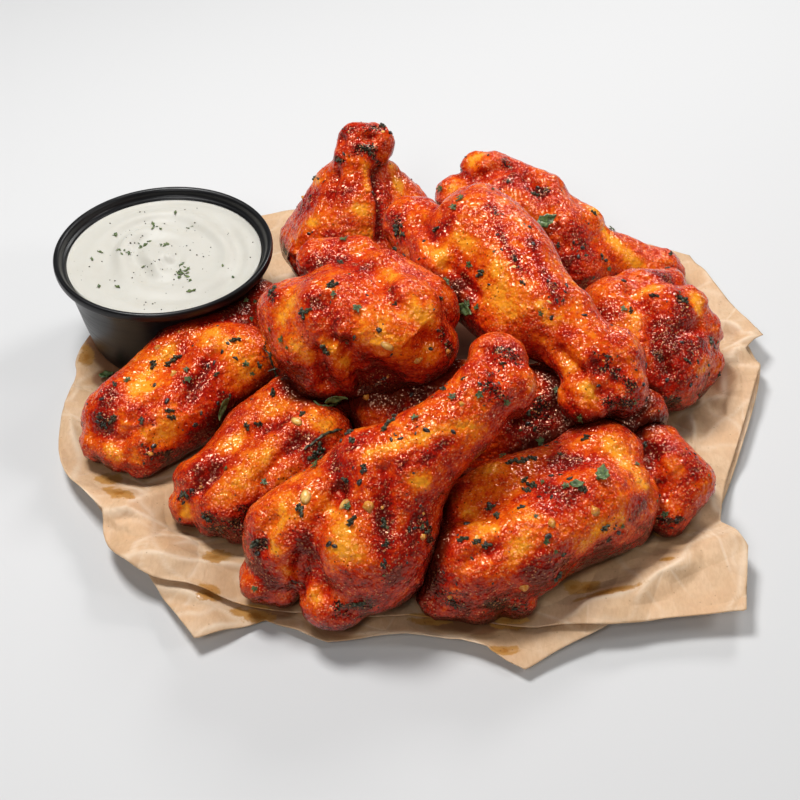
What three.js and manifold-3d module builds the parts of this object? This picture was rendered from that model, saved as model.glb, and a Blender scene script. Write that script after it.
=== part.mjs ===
// A serving of glazed chicken wings: ten wing pieces heaped on two crossed sheets of brown
// paper, with a black pot of white dip at the heap's left. Millimetres, +Z up. The origin is on
// the table under the middle of the serving, and the diner looks along +Y.
import * as THREE from "three";
import { mergeVertices } from "three/addons/utils/BufferGeometryUtils.js";
import Module from "manifold-3d";

const wasm = await Module();
wasm.setup();

// Driving sizes.
const CLEARANCE = 0.35; // kept between pieces that touch
const SHEET = { thickness: 0.5, gap: 0.35, wave: 3.2, lift: 1.3 };
const FLAT_UNDER_HEAP = { radiusX: 72, radiusY: 60 }; // inside this oval the paper lies flat
const WAVE_RUN = 26; // how far outside the flat paper the waves reach their full height
const POT = {
  x: -71.3,
  y: 33.3,
  height: 29.1,
  rimRadius: 31,
  rimWidth: 2.4,
  baseRadius: 24.6,
  wall: 0.9,
  footHeight: 0.7,
};
const DIP = { belowRim: 3.3, swirl: 0.7, peak: 1.2, ridgeSpacing: 9 };
const SEED = {
  count: 26,
  length: 1.7,
  width: 1.2,
  height: 0.8,
  apart: 7, // from seed to seed and leaf
  clear: 2.5, // from seed to the other pieces
  facing: 0.4, // how far up the skin under a seed faces, from 0 to 1
};
const LEAF = { thickness: 0.5, hover: 0.7, wave: 0.25 };

const UPPER_BASE = SHEET.thickness + SHEET.gap;
const STANDING_HEIGHT = UPPER_BASE + SHEET.thickness + CLEARANCE; // of the pot on flat paper

const DEGREE = Math.PI / 180;

// A repeatable stream of numbers from 0 to 1.
function seededRandom(seed) {
  let state = seed;
  return () => {
    state = (state * 1664525 + 1013904223) % 4294967296;
    return state / 4294967296;
  };
}

// Solids in and out of manifold-3d.
function toSolid(geometry, matrix = new THREE.Matrix4()) {
  const bare = new THREE.BufferGeometry();
  bare.setAttribute("position", geometry.getAttribute("position").clone());
  if (geometry.index) bare.setIndex(geometry.index.clone());
  bare.applyMatrix4(matrix);
  const merged = mergeVertices(bare, 1e-4);
  return new wasm.Manifold(
    new wasm.Mesh({
      numProp: 3,
      vertProperties: merged.attributes.position.array,
      triVerts: new Uint32Array(merged.index.array),
    }),
  );
}

function toGeometry(solid) {
  const mesh = solid.getMesh();
  const geometry = new THREE.BufferGeometry();
  geometry.setAttribute("position", new THREE.BufferAttribute(mesh.vertProperties, 3));
  geometry.setIndex(new THREE.BufferAttribute(mesh.triVerts, 1));
  geometry.computeVertexNormals();
  return geometry;
}

// The largest closed body of a solid, so that a cut leaves no scraps.
function largestBody(solid) {
  return solid.decompose().reduce((a, b) => (a.volume() > b.volume() ? a : b));
}

function namedMesh(name, geometry, material) {
  const mesh = new THREE.Mesh(geometry, new THREE.MeshStandardMaterial(material));
  mesh.name = name;
  return mesh;
}

// Brown paper. Both sheets follow one height: flat under the heap and the pot, with slow waves
// outside. The upper sheet lifts a little further, so the two never touch.
function waveShare(x, y) {
  const { radiusX, radiusY } = FLAT_UNDER_HEAP;
  const oval = (Math.hypot(x / radiusX, y / radiusY) - 1) * radiusY;
  const potFoot = Math.hypot(x - POT.x, y - POT.y) - POT.baseRadius - 2;
  return THREE.MathUtils.smoothstep(Math.min(oval, potFoot), 0, WAVE_RUN);
}

function paperHeight(x, y) {
  const angle = Math.atan2(y, x);
  const wave = 0.5 + 0.3 * Math.sin(7 * angle + 1.1) + 0.2 * Math.sin(4 * angle + 0.02 * x);
  return SHEET.wave * waveShare(x, y) * wave;
}

const lowerSheetHeight = (x, y) => paperHeight(x, y);
const upperSheetHeight = (x, y) => UPPER_BASE + paperHeight(x, y) + SHEET.lift * waveShare(x, y);

// Corner points round a sheet, anticlockwise from the right. Long sides get points between.
const UPPER_OUTLINE = [
  [101.5, 22], [94.5, 43.5], [88, 65], [73, 70], [45, 84], [5, 90], [-42, 87], [-62, 82],
  [-84, 58], [-97.5, 28.5], [-98.5, 16], [-96, 9.5], [-97, -12], [-93.5, -29], [-82.5, -42],
  [-78.5, -46], [-77.5, -54], [-72.5, -61.5], [-64.5, -67], [-54, -69], [-42, -72.5],
  [-19.5, -76.5], [9, -76], [24, -79.5], [44.5, -81], [58, -78], [77, -76.5], [81, -57.5],
  [76, -49], [79.5, -36], [87, -18.5], [98, 9], [94.5, 14.5],
];
const LOWER_OUTLINE = [
  [96, 0], [99, 11.5], [90, 30], [78, 52], [40, 72], [-10, 80], [-50, 74], [-82, 46],
  [-94, 10], [-90, -30], [-70, -58], [-51.5, -83], [-36, -75.5], [-21, -82.5], [-5, -81],
  [12, -82.5], [24.5, -90.5], [33, -85], [44, -80], [66, -64], [78, -42], [86, -24],
];

function withPointsBetween(outline, spacing) {
  const points = [];
  outline.forEach(([x, y], i) => {
    const [nextX, nextY] = outline[(i + 1) % outline.length];
    const steps = Math.max(1, Math.round(Math.hypot(nextX - x, nextY - y) / spacing));
    for (let step = 0; step < steps; step++) {
      const share = step / steps;
      points.push([x + share * (nextX - x), y + share * (nextY - y)]);
    }
  });
  return points;
}

// A sheet as one closed solid: rings of the outline shrunk towards the middle, the same above
// and below, joined round the edge.
function sheetGeometry(outline, heightBelow, heightAbove) {
  const SPACING = 13;
  const SHRINKS = [0.68, 0.78, 0.89, 1];
  const round = withPointsBetween(outline, SPACING);
  const sectors = round.length;
  const points = [];
  for (const height of [heightBelow, heightAbove]) {
    points.push(new THREE.Vector3(0, 0, height(0, 0)));
    for (const shrink of SHRINKS) {
      for (const [x, y] of round) {
        const [px, py] = [shrink * x, shrink * y];
        points.push(new THREE.Vector3(px, py, height(px, py)));
      }
    }
  }
  const side = 1 + SHRINKS.length * sectors;
  const at = (ring, sector) => 1 + ring * sectors + (sector % sectors);
  const rim = SHRINKS.length - 1;
  const faces = [];
  for (let sector = 0; sector < sectors; sector++) {
    const topFaces = [[0, at(0, sector), at(0, sector + 1)]];
    for (let ring = 0; ring < rim; ring++) {
      const [a, b] = [at(ring, sector), at(ring, sector + 1)];
      const [c, d] = [at(ring + 1, sector), at(ring + 1, sector + 1)];
      topFaces.push([a, c, d], [a, d, b]);
    }
    for (const [a, b, c] of topFaces) faces.push(side + a, side + b, side + c, a, c, b);
    const [low, nextLow] = [at(rim, sector), at(rim, sector + 1)];
    faces.push(low, nextLow, side + nextLow, low, side + nextLow, side + low);
  }
  const geometry = new THREE.BufferGeometry().setFromPoints(points);
  geometry.setIndex(faces);
  return geometry;
}

const PAPER = { color: 0xc39a6e, roughness: 0.9, metalness: 0 };

function paper() {
  const sheet = (name, outline, height) =>
    namedMesh(
      name,
      sheetGeometry(outline, height, (x, y) => height(x, y) + SHEET.thickness),
      PAPER,
    );
  return [
    sheet("paper_lower", LOWER_OUTLINE, lowerSheetHeight),
    sheet("paper_upper", UPPER_OUTLINE, upperSheetHeight),
  ];
}

// Everything below the height that food lies at, for trimming what rests on the paper.
function groundBlock() {
  const DEPTH = -60;
  return toSolid(
    sheetGeometry(
      UPPER_OUTLINE,
      () => DEPTH,
      (x, y) => upperSheetHeight(x, y) + SHEET.thickness + CLEARANCE,
    ),
  );
}

// The pot: a thin tapered cup with a foot ring and a rolled rim that has a groove inside it.
const POT_SIDES = 36;

function turned(profile, sides) {
  const points = profile.map(([radius, height]) => new THREE.Vector2(radius, height));
  const geometry = new THREE.LatheGeometry(points, sides);
  geometry.rotateX(90 * DEGREE);
  return geometry;
}

function potGeometry() {
  const { height, rimRadius, baseRadius, wall, footHeight } = POT;
  const FOOT_WIDTH = 1.6;
  const floorTop = footHeight + wall;
  const wallTop = rimRadius - POT.rimWidth;
  const flange = height - 3.5;
  return turned(
    [
      [0, footHeight],
      [baseRadius - FOOT_WIDTH - 0.4, footHeight],
      [baseRadius - FOOT_WIDTH, 0],
      [baseRadius, 0],
      [wallTop, flange],
      [rimRadius - 0.4, flange + 0.6],
      [rimRadius, flange + 1.4],
      [rimRadius, height - 0.5],
      [rimRadius - 0.6, height],
      [rimRadius - 1.7, height - 0.4],
      [wallTop + 0.3, flange + 1.3],
      [wallTop - wall + 0.3, flange + 0.8],
      [wallTop - wall, flange],
      [baseRadius - wall - 0.1, floorTop + 0.6],
      [baseRadius - wall - 0.7, floorTop],
      [0, floorTop],
    ],
    POT_SIDES,
  );
}

// The dip fills the pot's tapered inside, with a spiral swirl on top that ends in a low peak.
function dipSurface(radius, angle, edge) {
  const fade = 1 - THREE.MathUtils.smoothstep(radius, 0.75 * edge, edge);
  const spiral = Math.cos((2 * Math.PI * radius) / DIP.ridgeSpacing - angle);
  const peak = DIP.peak * Math.exp(-((radius / 4) ** 2));
  return fade * (DIP.swirl * spiral * THREE.MathUtils.smoothstep(radius, 0, 5) + peak);
}

function dipGeometry() {
  const { height, rimRadius, rimWidth, baseRadius, wall, footHeight } = POT;
  const RINGS = 9;
  const SECTORS = 32;
  const FACET_ROOM = 0.25; // a turned wall's flats come this much nearer than its corners
  const level = height - DIP.belowRim;
  const inside = wall + CLEARANCE + FACET_ROOM;
  const edge = rimRadius - rimWidth - inside;
  const floor = footHeight + wall + CLEARANCE;
  const floorRadius = baseRadius - inside - 0.8;
  const points = [new THREE.Vector3(0, 0, level + DIP.peak)];
  const addRing = (radius, heightAt) => {
    for (let sector = 0; sector < SECTORS; sector++) {
      const angle = (2 * Math.PI * sector) / SECTORS;
      points.push(
        new THREE.Vector3(radius * Math.cos(angle), radius * Math.sin(angle), heightAt(angle)),
      );
    }
  };
  for (let ring = 1; ring <= RINGS; ring++) {
    const radius = (edge * ring) / RINGS;
    addRing(radius, (angle) => level + dipSurface(radius, angle, edge));
  }
  addRing(floorRadius, () => floor);
  points.push(new THREE.Vector3(0, 0, floor));
  const last = points.length - 1;
  const at = (ring, sector) => 1 + ring * SECTORS + (sector % SECTORS);
  const faces = [];
  for (let sector = 0; sector < SECTORS; sector++) {
    faces.push(0, at(0, sector), at(0, sector + 1));
    faces.push(last, at(RINGS, sector + 1), at(RINGS, sector));
    for (let ring = 0; ring < RINGS; ring++) {
      const [a, b] = [at(ring, sector), at(ring, sector + 1)];
      const [c, d] = [at(ring + 1, sector), at(ring + 1, sector + 1)];
      faces.push(a, c, d, a, d, b);
    }
  }
  const geometry = new THREE.BufferGeometry().setFromPoints(points);
  geometry.setIndex(faces);
  return geometry;
}

function potOfDip() {
  const group = new THREE.Group();
  group.position.set(POT.x, POT.y, STANDING_HEIGHT);
  group.add(
    namedMesh("pot", potGeometry(), { color: 0x161618, roughness: 0.45, metalness: 0 }),
    namedMesh("dip", dipGeometry(), { color: 0xe9e7e0, roughness: 0.35, metalness: 0 }),
  );
  return group;
}

// The pot's outer shape grown by the clearance, for trimming the wing that leans on it.
function potBlock() {
  const { height, rimRadius, rimWidth, baseRadius } = POT;
  const block = turned(
    [
      [0, -1],
      [baseRadius + CLEARANCE, -1],
      [rimRadius - rimWidth + CLEARANCE, height - 4],
      [rimRadius + CLEARANCE, height - 3],
      [rimRadius + CLEARANCE, height + CLEARANCE],
      [0, height + CLEARANCE],
    ],
    POT_SIDES,
  );
  return toSolid(block, new THREE.Matrix4().makeTranslation(POT.x, POT.y, STANDING_HEIGHT));
}

// Flesh and bone under the skin: a muscle is a ball swept from one point to another while its
// radius goes from thick to thin, and a knob is one ball. Blend is how softly it runs into what
// comes before it: a small one leaves a crease.
const muscle = (from, to, thick, thin, blend = 2) => ({
  from: new THREE.Vector3(...from),
  to: new THREE.Vector3(...to),
  thick,
  thin,
  blend,
});

const knob = (at, radius, blend = 2) => muscle(at, at, radius, radius, blend);

function distanceToMuscle(point, { from, to, thick, thin }) {
  const axis = to.clone().sub(from);
  const length2 = axis.lengthSq();
  const offset = point.clone().sub(from);
  const share = length2 > 0 ? THREE.MathUtils.clamp(offset.dot(axis) / length2, 0, 1) : 0;
  return offset.addScaledVector(axis, -share).length() - THREE.MathUtils.lerp(thick, thin, share);
}

function smoothMin(a, b, blend) {
  const overlap = Math.max(blend - Math.abs(a - b), 0) / blend;
  return Math.min(a, b) - (overlap * overlap * blend) / 4;
}

// Uneven flesh: three slow waves that differ from piece to piece.
function unevenness({ x, y, z }, seed) {
  return (
    0.5 * Math.sin(0.21 * x + 0.13 * y + seed) +
    0.4 * Math.sin(0.17 * y - 0.26 * z + 2.1 * seed) +
    0.35 * Math.sin(0.31 * z + 0.24 * x - 1.7 * seed)
  );
}

function distanceToSkin(point, piece) {
  let distance = Infinity;
  for (const part of piece.flesh) {
    const own = distanceToMuscle(point, part);
    distance = distance === Infinity ? own : smoothMin(distance, own, part.blend);
  }
  return distance - unevenness(point, piece.seed);
}

// How far the skin lies from a point inside the piece, in one direction.
function reach(piece, origin, direction, growth) {
  const STEP = 1.5;
  const FARTHEST = 60;
  const HALVINGS = 10;
  const point = new THREE.Vector3();
  const outside = (t) =>
    distanceToSkin(point.copy(origin).addScaledVector(direction, t), piece) > growth;
  let far = STEP;
  while (!outside(far) && far < FARTHEST) far += STEP;
  let near = far - STEP;
  for (let i = 0; i < HALVINGS; i++) {
    const middle = (near + far) / 2;
    if (outside(middle)) far = middle;
    else near = middle;
  }
  return far;
}

// Where a ring and sector of a piece's skin look out from, and which way. The rings run from
// the pole behind the start of the piece's spine to the pole past its end.
function lookout(piece, share, angle) {
  const CAP_SHARE = 0.26; // of the rings' run that each rounded end takes
  const [first, last] = piece.spine;
  const origin = new THREE.Vector3(first, 0, 0);
  let polar = 90;
  if (share < CAP_SHARE) {
    polar = (90 * share) / CAP_SHARE;
  } else if (share > 1 - CAP_SHARE) {
    polar = 180 - (90 * (1 - share)) / CAP_SHARE;
    origin.x = last;
  } else {
    origin.x = THREE.MathUtils.mapLinear(share, CAP_SHARE, 1 - CAP_SHARE, first, last);
  }
  const out = Math.sin(polar * DEGREE);
  const direction = new THREE.Vector3(
    -Math.cos(polar * DEGREE),
    out * Math.cos(angle),
    out * Math.sin(angle),
  );
  return { origin, direction };
}

function skinPoint(piece, share, angle, growth = 0) {
  const { origin, direction } = lookout(piece, share, angle);
  return origin.addScaledVector(direction, reach(piece, origin, direction, growth));
}

// A piece's skin as one closed mesh, in the piece's own frame.
function skinGeometry(piece, growth = 0) {
  const { rings, sectors } = piece;
  const points = [skinPoint(piece, 0, 0, growth)];
  for (let ring = 1; ring < rings; ring++) {
    for (let sector = 0; sector < sectors; sector++) {
      points.push(skinPoint(piece, ring / rings, (2 * Math.PI * sector) / sectors, growth));
    }
  }
  points.push(skinPoint(piece, 1, 0, growth));
  const last = points.length - 1;
  const at = (ring, sector) => 1 + (ring - 1) * sectors + (sector % sectors);
  const faces = [];
  for (let sector = 0; sector < sectors; sector++) {
    faces.push(0, at(1, sector + 1), at(1, sector));
    faces.push(last, at(rings - 1, sector), at(rings - 1, sector + 1));
    for (let ring = 1; ring < rings - 1; ring++) {
      const [a, b] = [at(ring, sector), at(ring, sector + 1)];
      const [c, d] = [at(ring + 1, sector), at(ring + 1, sector + 1)];
      faces.push(a, b, d, a, d, c);
    }
  }
  const geometry = new THREE.BufferGeometry().setFromPoints(points);
  geometry.setIndex(faces);
  return geometry;
}

// The heap, from the bottom up. At is the middle of the thick end, heading the compass of its
// length (degrees from +X), and rise how far the other end is tipped up. Each piece's flesh is
// in its own frame: +X along its length, +Y to its left. A piece is pressed in where it rests
// on the ones before it.
const PIECES = [
  {
    name: "flat_left",
    at: [-74, -21, 13],
    heading: 51,
    rise: 3,
    seed: 1,
    spine: [0, 46],
    flesh: [
      muscle([-1, 6, -1], [41, 7, 0], 8.5, 11.5),
      muscle([1, -4, -2], [31, -7, 0], 9.5, 13),
      knob([-8, 5, -4], 5.5, 1.5),
      knob([-7, -1, -4], 5.5, 1.5),
      knob([-4, -6, -5], 5.5, 1.5),
      muscle([45, 7, 1.5], [51, 4, 1.5], 8, 8),
    ],
  },
  {
    name: "flat_front_left",
    at: [-50, -43, 12],
    heading: 44,
    rise: 4,
    seed: 2,
    spine: [0, 37],
    flesh: [
      muscle([0, 4, 0], [30, 6, 0], 7.5, 11),
      muscle([0, -4, -2], [24, -7, 0], 8.5, 12.5),
      knob([-6, 3, -4], 5.5, 1.5),
      knob([-5, -4, -4], 5, 1.5),
      knob([-1, -9, -5], 5.5, 1.5),
      muscle([37, -1, 0], [43, -6, -3], 9, 8),
    ],
  },
  {
    name: "flat_front_right",
    at: [15, -65, 14],
    heading: 32,
    rise: 3,
    seed: 3,
    spine: [-4, 54],
    flesh: [
      muscle([5, 8, 0], [40, 5, 1], 11, 11),
      muscle([-4, -1, -2], [37, -4, -2], 12, 12),
      muscle([10, -6, 2], [28, -5, 3], 11, 10, 4),
      knob([-11, -2, -5], 6.5, 1.5),
      knob([-5, -7, -7], 6),
      knob([2, -12, -7], 4.5, 1.5),
      muscle([57, 3, -2], [56, -3, -3], 7, 8, 1.5),
      muscle([58, -8, -4], [50, -11, -8], 6, 6),
    ],
  },
  {
    name: "flat_middle",
    at: [-5, -21, 17],
    heading: -4,
    rise: 0,
    seed: 4,
    spine: [0, 54],
    rings: 16,
    sectors: 16,
    flesh: [
      muscle([-3, 2, 2], [53, 5, 2], 10.5, 10.5),
      muscle([-1, -2, -4], [53, -2, -3], 11.5, 11),
      knob([62, 3, 0], 8),
    ],
  },
  {
    name: "drumette_right",
    at: [60, 5, 19],
    heading: 33,
    rise: 6,
    seed: 5,
    spine: [0, 14],
    flesh: [
      muscle([0, 8, 1], [0, -5, -3], 12.5, 13),
      muscle([8, -1, 1], [3, -10, -3], 12.5, 12, 1.5),
      muscle([10, 10, 6], [20, 9, 3], 7, 6.5, 1.5),
      knob([16, -2, 5], 6, 1.2),
      knob([17, -6, -1], 6.5),
      knob([12, -12, -8], 7.5),
      muscle([-1, -10, -10], [9, -11, -12], 8, 7),
    ],
  },
  {
    name: "drumette_back",
    at: [-17, 54, 20],
    heading: 56,
    rise: 79,
    seed: 6,
    spine: [0, 24],
    flesh: [
      muscle([-2, 0, 4], [23, 2, 1], 19, 7, 4),
      muscle([0, -9, -8], [17, -1, -7], 15.5, 6.5),
      muscle([-5, 11, 7], [13, 6, 2], 10, 8),
      knob([28, 3, 0], 5.5),
      knob([27, 0, -4], 6),
    ],
  },
  {
    name: "drumette_back_right",
    at: [30, 63, 20],
    heading: -15,
    rise: -15,
    seed: 7,
    spine: [-8, 42],
    flesh: [
      muscle([-2, 3, 0], [16, -4, 1], 14.5, 13.5, 3),
      muscle([-10, 6, 7], [7, 4, 9], 7.5, 7, 1.5),
      knob([-15, 8, 7], 5, 1.5),
      knob([-15, 2, -2], 8.5, 1.5),
      knob([21, -1, 7], 7, 1.5),
      muscle([14, -8, -3], [24, -10, -2], 13, 11.5),
      muscle([25, -4, 2], [43, 0, 0], 8, 7),
      knob([48, -1, 1], 7.5),
    ],
  },
  {
    name: "drumette_front",
    at: [-19, -63, 18.4],
    heading: 35,
    rise: 29,
    seed: 8,
    spine: [-10, 50],
    flesh: [
      muscle([-9, 6, 2], [15, 4, 4], 12, 9.5, 3),
      muscle([3, -7, -3], [20, -4, 1], 15.5, 11, 1.5),
      muscle([-20, 5, 0], [-18, 2, -3], 6.5, 6, 1.5),
      knob([-9, -9, -4], 9, 1.5),
      knob([-12, -4, 1], 4, 1),
      muscle([16, -3, 4], [47, -2, 1], 10, 8.5, 4),
      knob([55, 3, -1], 7.2, 2.5),
      knob([52, -4, -2], 7.2, 1.5),
    ],
  },
  {
    name: "drumette_left",
    at: [-21, -12, 36],
    heading: 19,
    rise: 14,
    seed: 9,
    spine: [0, 14],
    flesh: [
      muscle([4, 2, -1], [13, 0, -3], 17, 16),
      muscle([-6, 9, 4], [-7, 0, 0], 9.5, 9.5),
      knob([-6, -4, -6], 9, 1.5),
      muscle([16, -8, 2], [18, -11, -5], 12, 10, 1.5),
      muscle([4, 20, 6], [14, 17, 5], 6, 6.5),
      muscle([18, 8, 5], [25, -2, -1], 7, 8, 1.2),
      muscle([2, -7, -9], [8, -10, -10], 7, 6.5, 1.5),
    ],
  },
  {
    name: "drumette_top",
    at: [15, 15, 43],
    heading: -51,
    rise: -11,
    seed: 10,
    spine: [-12, 49],
    flesh: [
      muscle([-1, 5, 0], [28, 0, 2], 14, 10.5, 3),
      muscle([-19, -3, -6], [-3, -6, -4], 8.5, 10),
      muscle([0, -4, -5], [24, -5, -3], 11, 9, 1.5),
      muscle([-6, 9, 5], [32, 4, 5], 6, 5.5, 1.5),
      muscle([26, 1, 1], [46, 0, 0], 9.5, 8.5, 4),
      knob([50, 6, 0], 7.5, 2.5),
      knob([56, 3, -3], 7.5, 1.5),
      knob([52, -5, -4], 7, 1.5),
      knob([52, -4, 1], 4, 1),
    ],
  },
].map((piece) => ({ rings: 18, sectors: 20, ...piece, matrix: standing(piece) }));

function standing({ at, rise, heading }) {
  const turn = new THREE.Euler(0, -rise * DEGREE, heading * DEGREE, "ZYX");
  return new THREE.Matrix4().compose(
    new THREE.Vector3(...at),
    new THREE.Quaternion().setFromEuler(turn),
    new THREE.Vector3(1, 1, 1),
  );
}

function distanceInHeap(point, piece) {
  return distanceToSkin(point.clone().applyMatrix4(piece.matrix.clone().invert()), piece);
}

const distanceToHeap = (point) =>
  Math.min(...PIECES.map((piece) => distanceInHeap(point, piece)));

function outwardNormal(point, distance) {
  const STEP = 0.5;
  const slope = (x, y, z) =>
    distance(point.clone().add(new THREE.Vector3(x, y, z))) -
    distance(point.clone().sub(new THREE.Vector3(x, y, z)));
  return new THREE.Vector3(slope(STEP, 0, 0), slope(0, STEP, 0), slope(0, 0, STEP)).normalize();
}

// Parsley leaves. Each is a thin wavy blade that follows what it lies on: at is a point near its
// middle, which settles onto the nearest skin or paper.
const LEAVES = [
  { name: "leaf_back", at: [40, 50, 27], heading: 35, length: 6.5, width: 4.5 },
  { name: "leaf_top", at: [13, -5, 39], heading: -40, length: 5.5, width: 3.2 },
  { name: "leaf_left", at: [-51, -19, 17], heading: -60, length: 6, width: 2.6 },
  { name: "leaf_middle", at: [-20, -27, 27], heading: 30, length: 5.5, width: 3 },
  { name: "leaf_front", at: [43, -55, 29], heading: 80, length: 4.5, width: 3.6 },
  { name: "leaf_front_small", at: [37, -58, 29], heading: 10, length: 3.6, width: 2.6 },
  { name: "leaf_paper", at: [-88, 10, 2], heading: 20, length: 4, width: 3 },
];

const abovePaper = ({ x, y, z }) => z - upperSheetHeight(x, y) - SHEET.thickness;

const distanceToServing = (point) => Math.min(distanceToHeap(point), abovePaper(point));

// Moves a point along the slope until it hovers at a distance from what lies under it.
function settled(point, hover) {
  const STEPS = 8;
  const spot = point.clone();
  for (let i = 0; i < STEPS; i++) {
    const normal = outwardNormal(spot, distanceToServing);
    spot.addScaledVector(normal, hover - distanceToServing(spot));
  }
  return spot;
}

function leafGeometry({ at, heading, length, width }) {
  const ROWS = 3;
  const centre = settled(new THREE.Vector3(...at), LEAF.hover);
  const up = outwardNormal(centre, distanceToServing);
  const along = new THREE.Vector3(Math.cos(heading * DEGREE), Math.sin(heading * DEGREE), 0);
  along.addScaledVector(up, -along.dot(up)).normalize();
  const across = up.clone().cross(along);
  const spot = (lengthShare, side, lift) => {
    const halfWidth = (width / 2) * Math.sin(Math.PI * Math.pow(lengthShare, 0.8));
    const wave = LEAF.wave * (1 + Math.sin(9 * lengthShare + 2 * side));
    return settled(
      centre
        .clone()
        .addScaledVector(along, (lengthShare - 0.5) * length)
        .addScaledVector(across, side * halfWidth),
      LEAF.hover + wave,
    ).addScaledVector(up, lift);
  };
  const points = [];
  for (const lift of [0, LEAF.thickness]) {
    points.push(spot(0.01, 0, lift));
    for (let row = 1; row <= ROWS; row++) {
      for (const side of [-1, 0, 1]) points.push(spot(row / (ROWS + 1), side, lift));
    }
    points.push(spot(0.99, 0, lift));
  }
  const upper = points.length / 2;
  const tip = upper - 1;
  const vertex = (row, column) => 1 + 3 * row + column;
  const blade = [];
  for (const column of [0, 1]) {
    blade.push([0, vertex(0, column), vertex(0, column + 1)]);
    blade.push([tip, vertex(ROWS - 1, column + 1), vertex(ROWS - 1, column)]);
    for (let row = 0; row + 1 < ROWS; row++) {
      const [a, b] = [vertex(row, column), vertex(row, column + 1)];
      const [c, d] = [vertex(row + 1, column), vertex(row + 1, column + 1)];
      blade.push([a, c, d], [a, d, b]);
    }
  }
  const margin = [0, vertex(0, 0), vertex(1, 0), vertex(2, 0), tip, vertex(2, 2), vertex(1, 2), vertex(0, 2)];
  const faces = [];
  for (const [a, b, c] of blade) faces.push(upper + a, upper + b, upper + c, a, c, b);
  margin.forEach((from, i) => {
    const to = margin[(i + 1) % margin.length];
    faces.push(from, to, upper + to, from, upper + to, upper + from);
  });
  const geometry = new THREE.BufferGeometry().setFromPoints(points);
  geometry.setIndex(faces);
  return geometry;
}

const LEAF_GREEN = { color: 0x4c6b2a, roughness: 0.7, metalness: 0 };

const leaves = () => LEAVES.map((leaf) => namedMesh(leaf.name, leafGeometry(leaf), LEAF_GREEN));

// Seeds and bits of garlic, half sunk in the skin of the pieces at random, where the skin faces
// up and is clear of the other pieces, the leaves and the pot.
function seedSpots() {
  const random = seededRandom(7);
  const spots = [];
  const clearOfOthers = (point, piece) =>
    PIECES.every((other) => other === piece || distanceInHeap(point, other) > SEED.clear) &&
    LEAVES.every(({ at }) => point.distanceTo(new THREE.Vector3(...at)) > SEED.apart) &&
    spots.every((spot) => point.distanceTo(spot.point) > SEED.apart) &&
    Math.hypot(point.x - POT.x, point.y - POT.y) > POT.rimRadius + SEED.clear &&
    abovePaper(point) > 2 * SEED.clear;
  while (spots.length < SEED.count) {
    const piece = PIECES[Math.floor(random() * PIECES.length)];
    const local = skinPoint(piece, 0.1 + 0.8 * random(), Math.PI * random());
    const spin = 2 * Math.PI * random();
    const point = local.applyMatrix4(piece.matrix);
    const normal = outwardNormal(point, (p) => distanceInHeap(p, piece));
    if (normal.z > SEED.facing && clearOfOthers(point, piece)) {
      spots.push({ piece, point, normal, spin });
    }
  }
  return spots;
}

function seedSolid({ point, normal, spin }) {
  const upright = new THREE.Quaternion().setFromUnitVectors(new THREE.Vector3(0, 0, 1), normal);
  const turn = new THREE.Quaternion().setFromAxisAngle(new THREE.Vector3(0, 0, 1), spin);
  const size = new THREE.Vector3(SEED.length, SEED.width, SEED.height);
  const matrix = new THREE.Matrix4().compose(point, upright.multiply(turn), size);
  return toSolid(new THREE.IcosahedronGeometry(1, 0), matrix);
}

const SKIN = { color: 0xb5451b, roughness: 0.35, metalness: 0 };

function heap() {
  const placed = [groundBlock(), potBlock()];
  const spots = seedSpots();
  return PIECES.map((piece) => {
    let solid = toSolid(skinGeometry(piece), piece.matrix);
    for (const other of placed) solid = solid.subtract(other);
    placed.push(toSolid(skinGeometry(piece, CLEARANCE), piece.matrix));
    for (const spot of spots) {
      if (spot.piece === piece) solid = solid.add(seedSolid(spot));
    }
    return namedMesh(piece.name, toGeometry(largestBody(solid)), SKIN);
  });
}

const serving = new THREE.Group();
serving.add(...paper(), potOfDip(), ...heap(), ...leaves());
export default serving;
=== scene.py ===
"""Looks for a serving of glazed chicken wings: ten pieces heaped on two sheets of brown paper,
with a black pot of white dip. Lengths are millimetres until a mesh is made, then metres."""

import math

import bpy
import numpy as np
from bpy.props import FloatProperty, FloatVectorProperty, IntProperty, PointerProperty
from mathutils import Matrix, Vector


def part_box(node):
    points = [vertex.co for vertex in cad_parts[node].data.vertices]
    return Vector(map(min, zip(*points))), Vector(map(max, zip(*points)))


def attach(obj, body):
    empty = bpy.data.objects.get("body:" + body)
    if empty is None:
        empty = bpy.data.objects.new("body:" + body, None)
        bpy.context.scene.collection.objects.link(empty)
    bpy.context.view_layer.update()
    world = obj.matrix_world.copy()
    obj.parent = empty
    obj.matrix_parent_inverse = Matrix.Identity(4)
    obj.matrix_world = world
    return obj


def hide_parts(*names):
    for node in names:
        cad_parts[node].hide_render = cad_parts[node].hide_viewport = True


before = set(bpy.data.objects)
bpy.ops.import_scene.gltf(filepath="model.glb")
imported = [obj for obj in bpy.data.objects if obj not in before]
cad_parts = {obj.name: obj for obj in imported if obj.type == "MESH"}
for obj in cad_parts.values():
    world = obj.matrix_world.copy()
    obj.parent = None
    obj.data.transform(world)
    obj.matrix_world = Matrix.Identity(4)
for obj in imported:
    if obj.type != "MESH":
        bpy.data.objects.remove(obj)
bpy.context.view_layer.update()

bl_info = {
    "name": "Chicken wings serving",
    "version": (1, 0, 0),
    "blender": (4, 5, 0),
    "location": "3D View > Sidebar > Wings",
    "description": "Builds a heap of glazed chicken wings on paper with a pot of dip",
    "category": "Add Mesh",
}

MM = 0.001
HAIR = 1e-6  # the least length that anything is divided by
FACING_UP = np.array([0.0, 0.0, 1.0])

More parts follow.
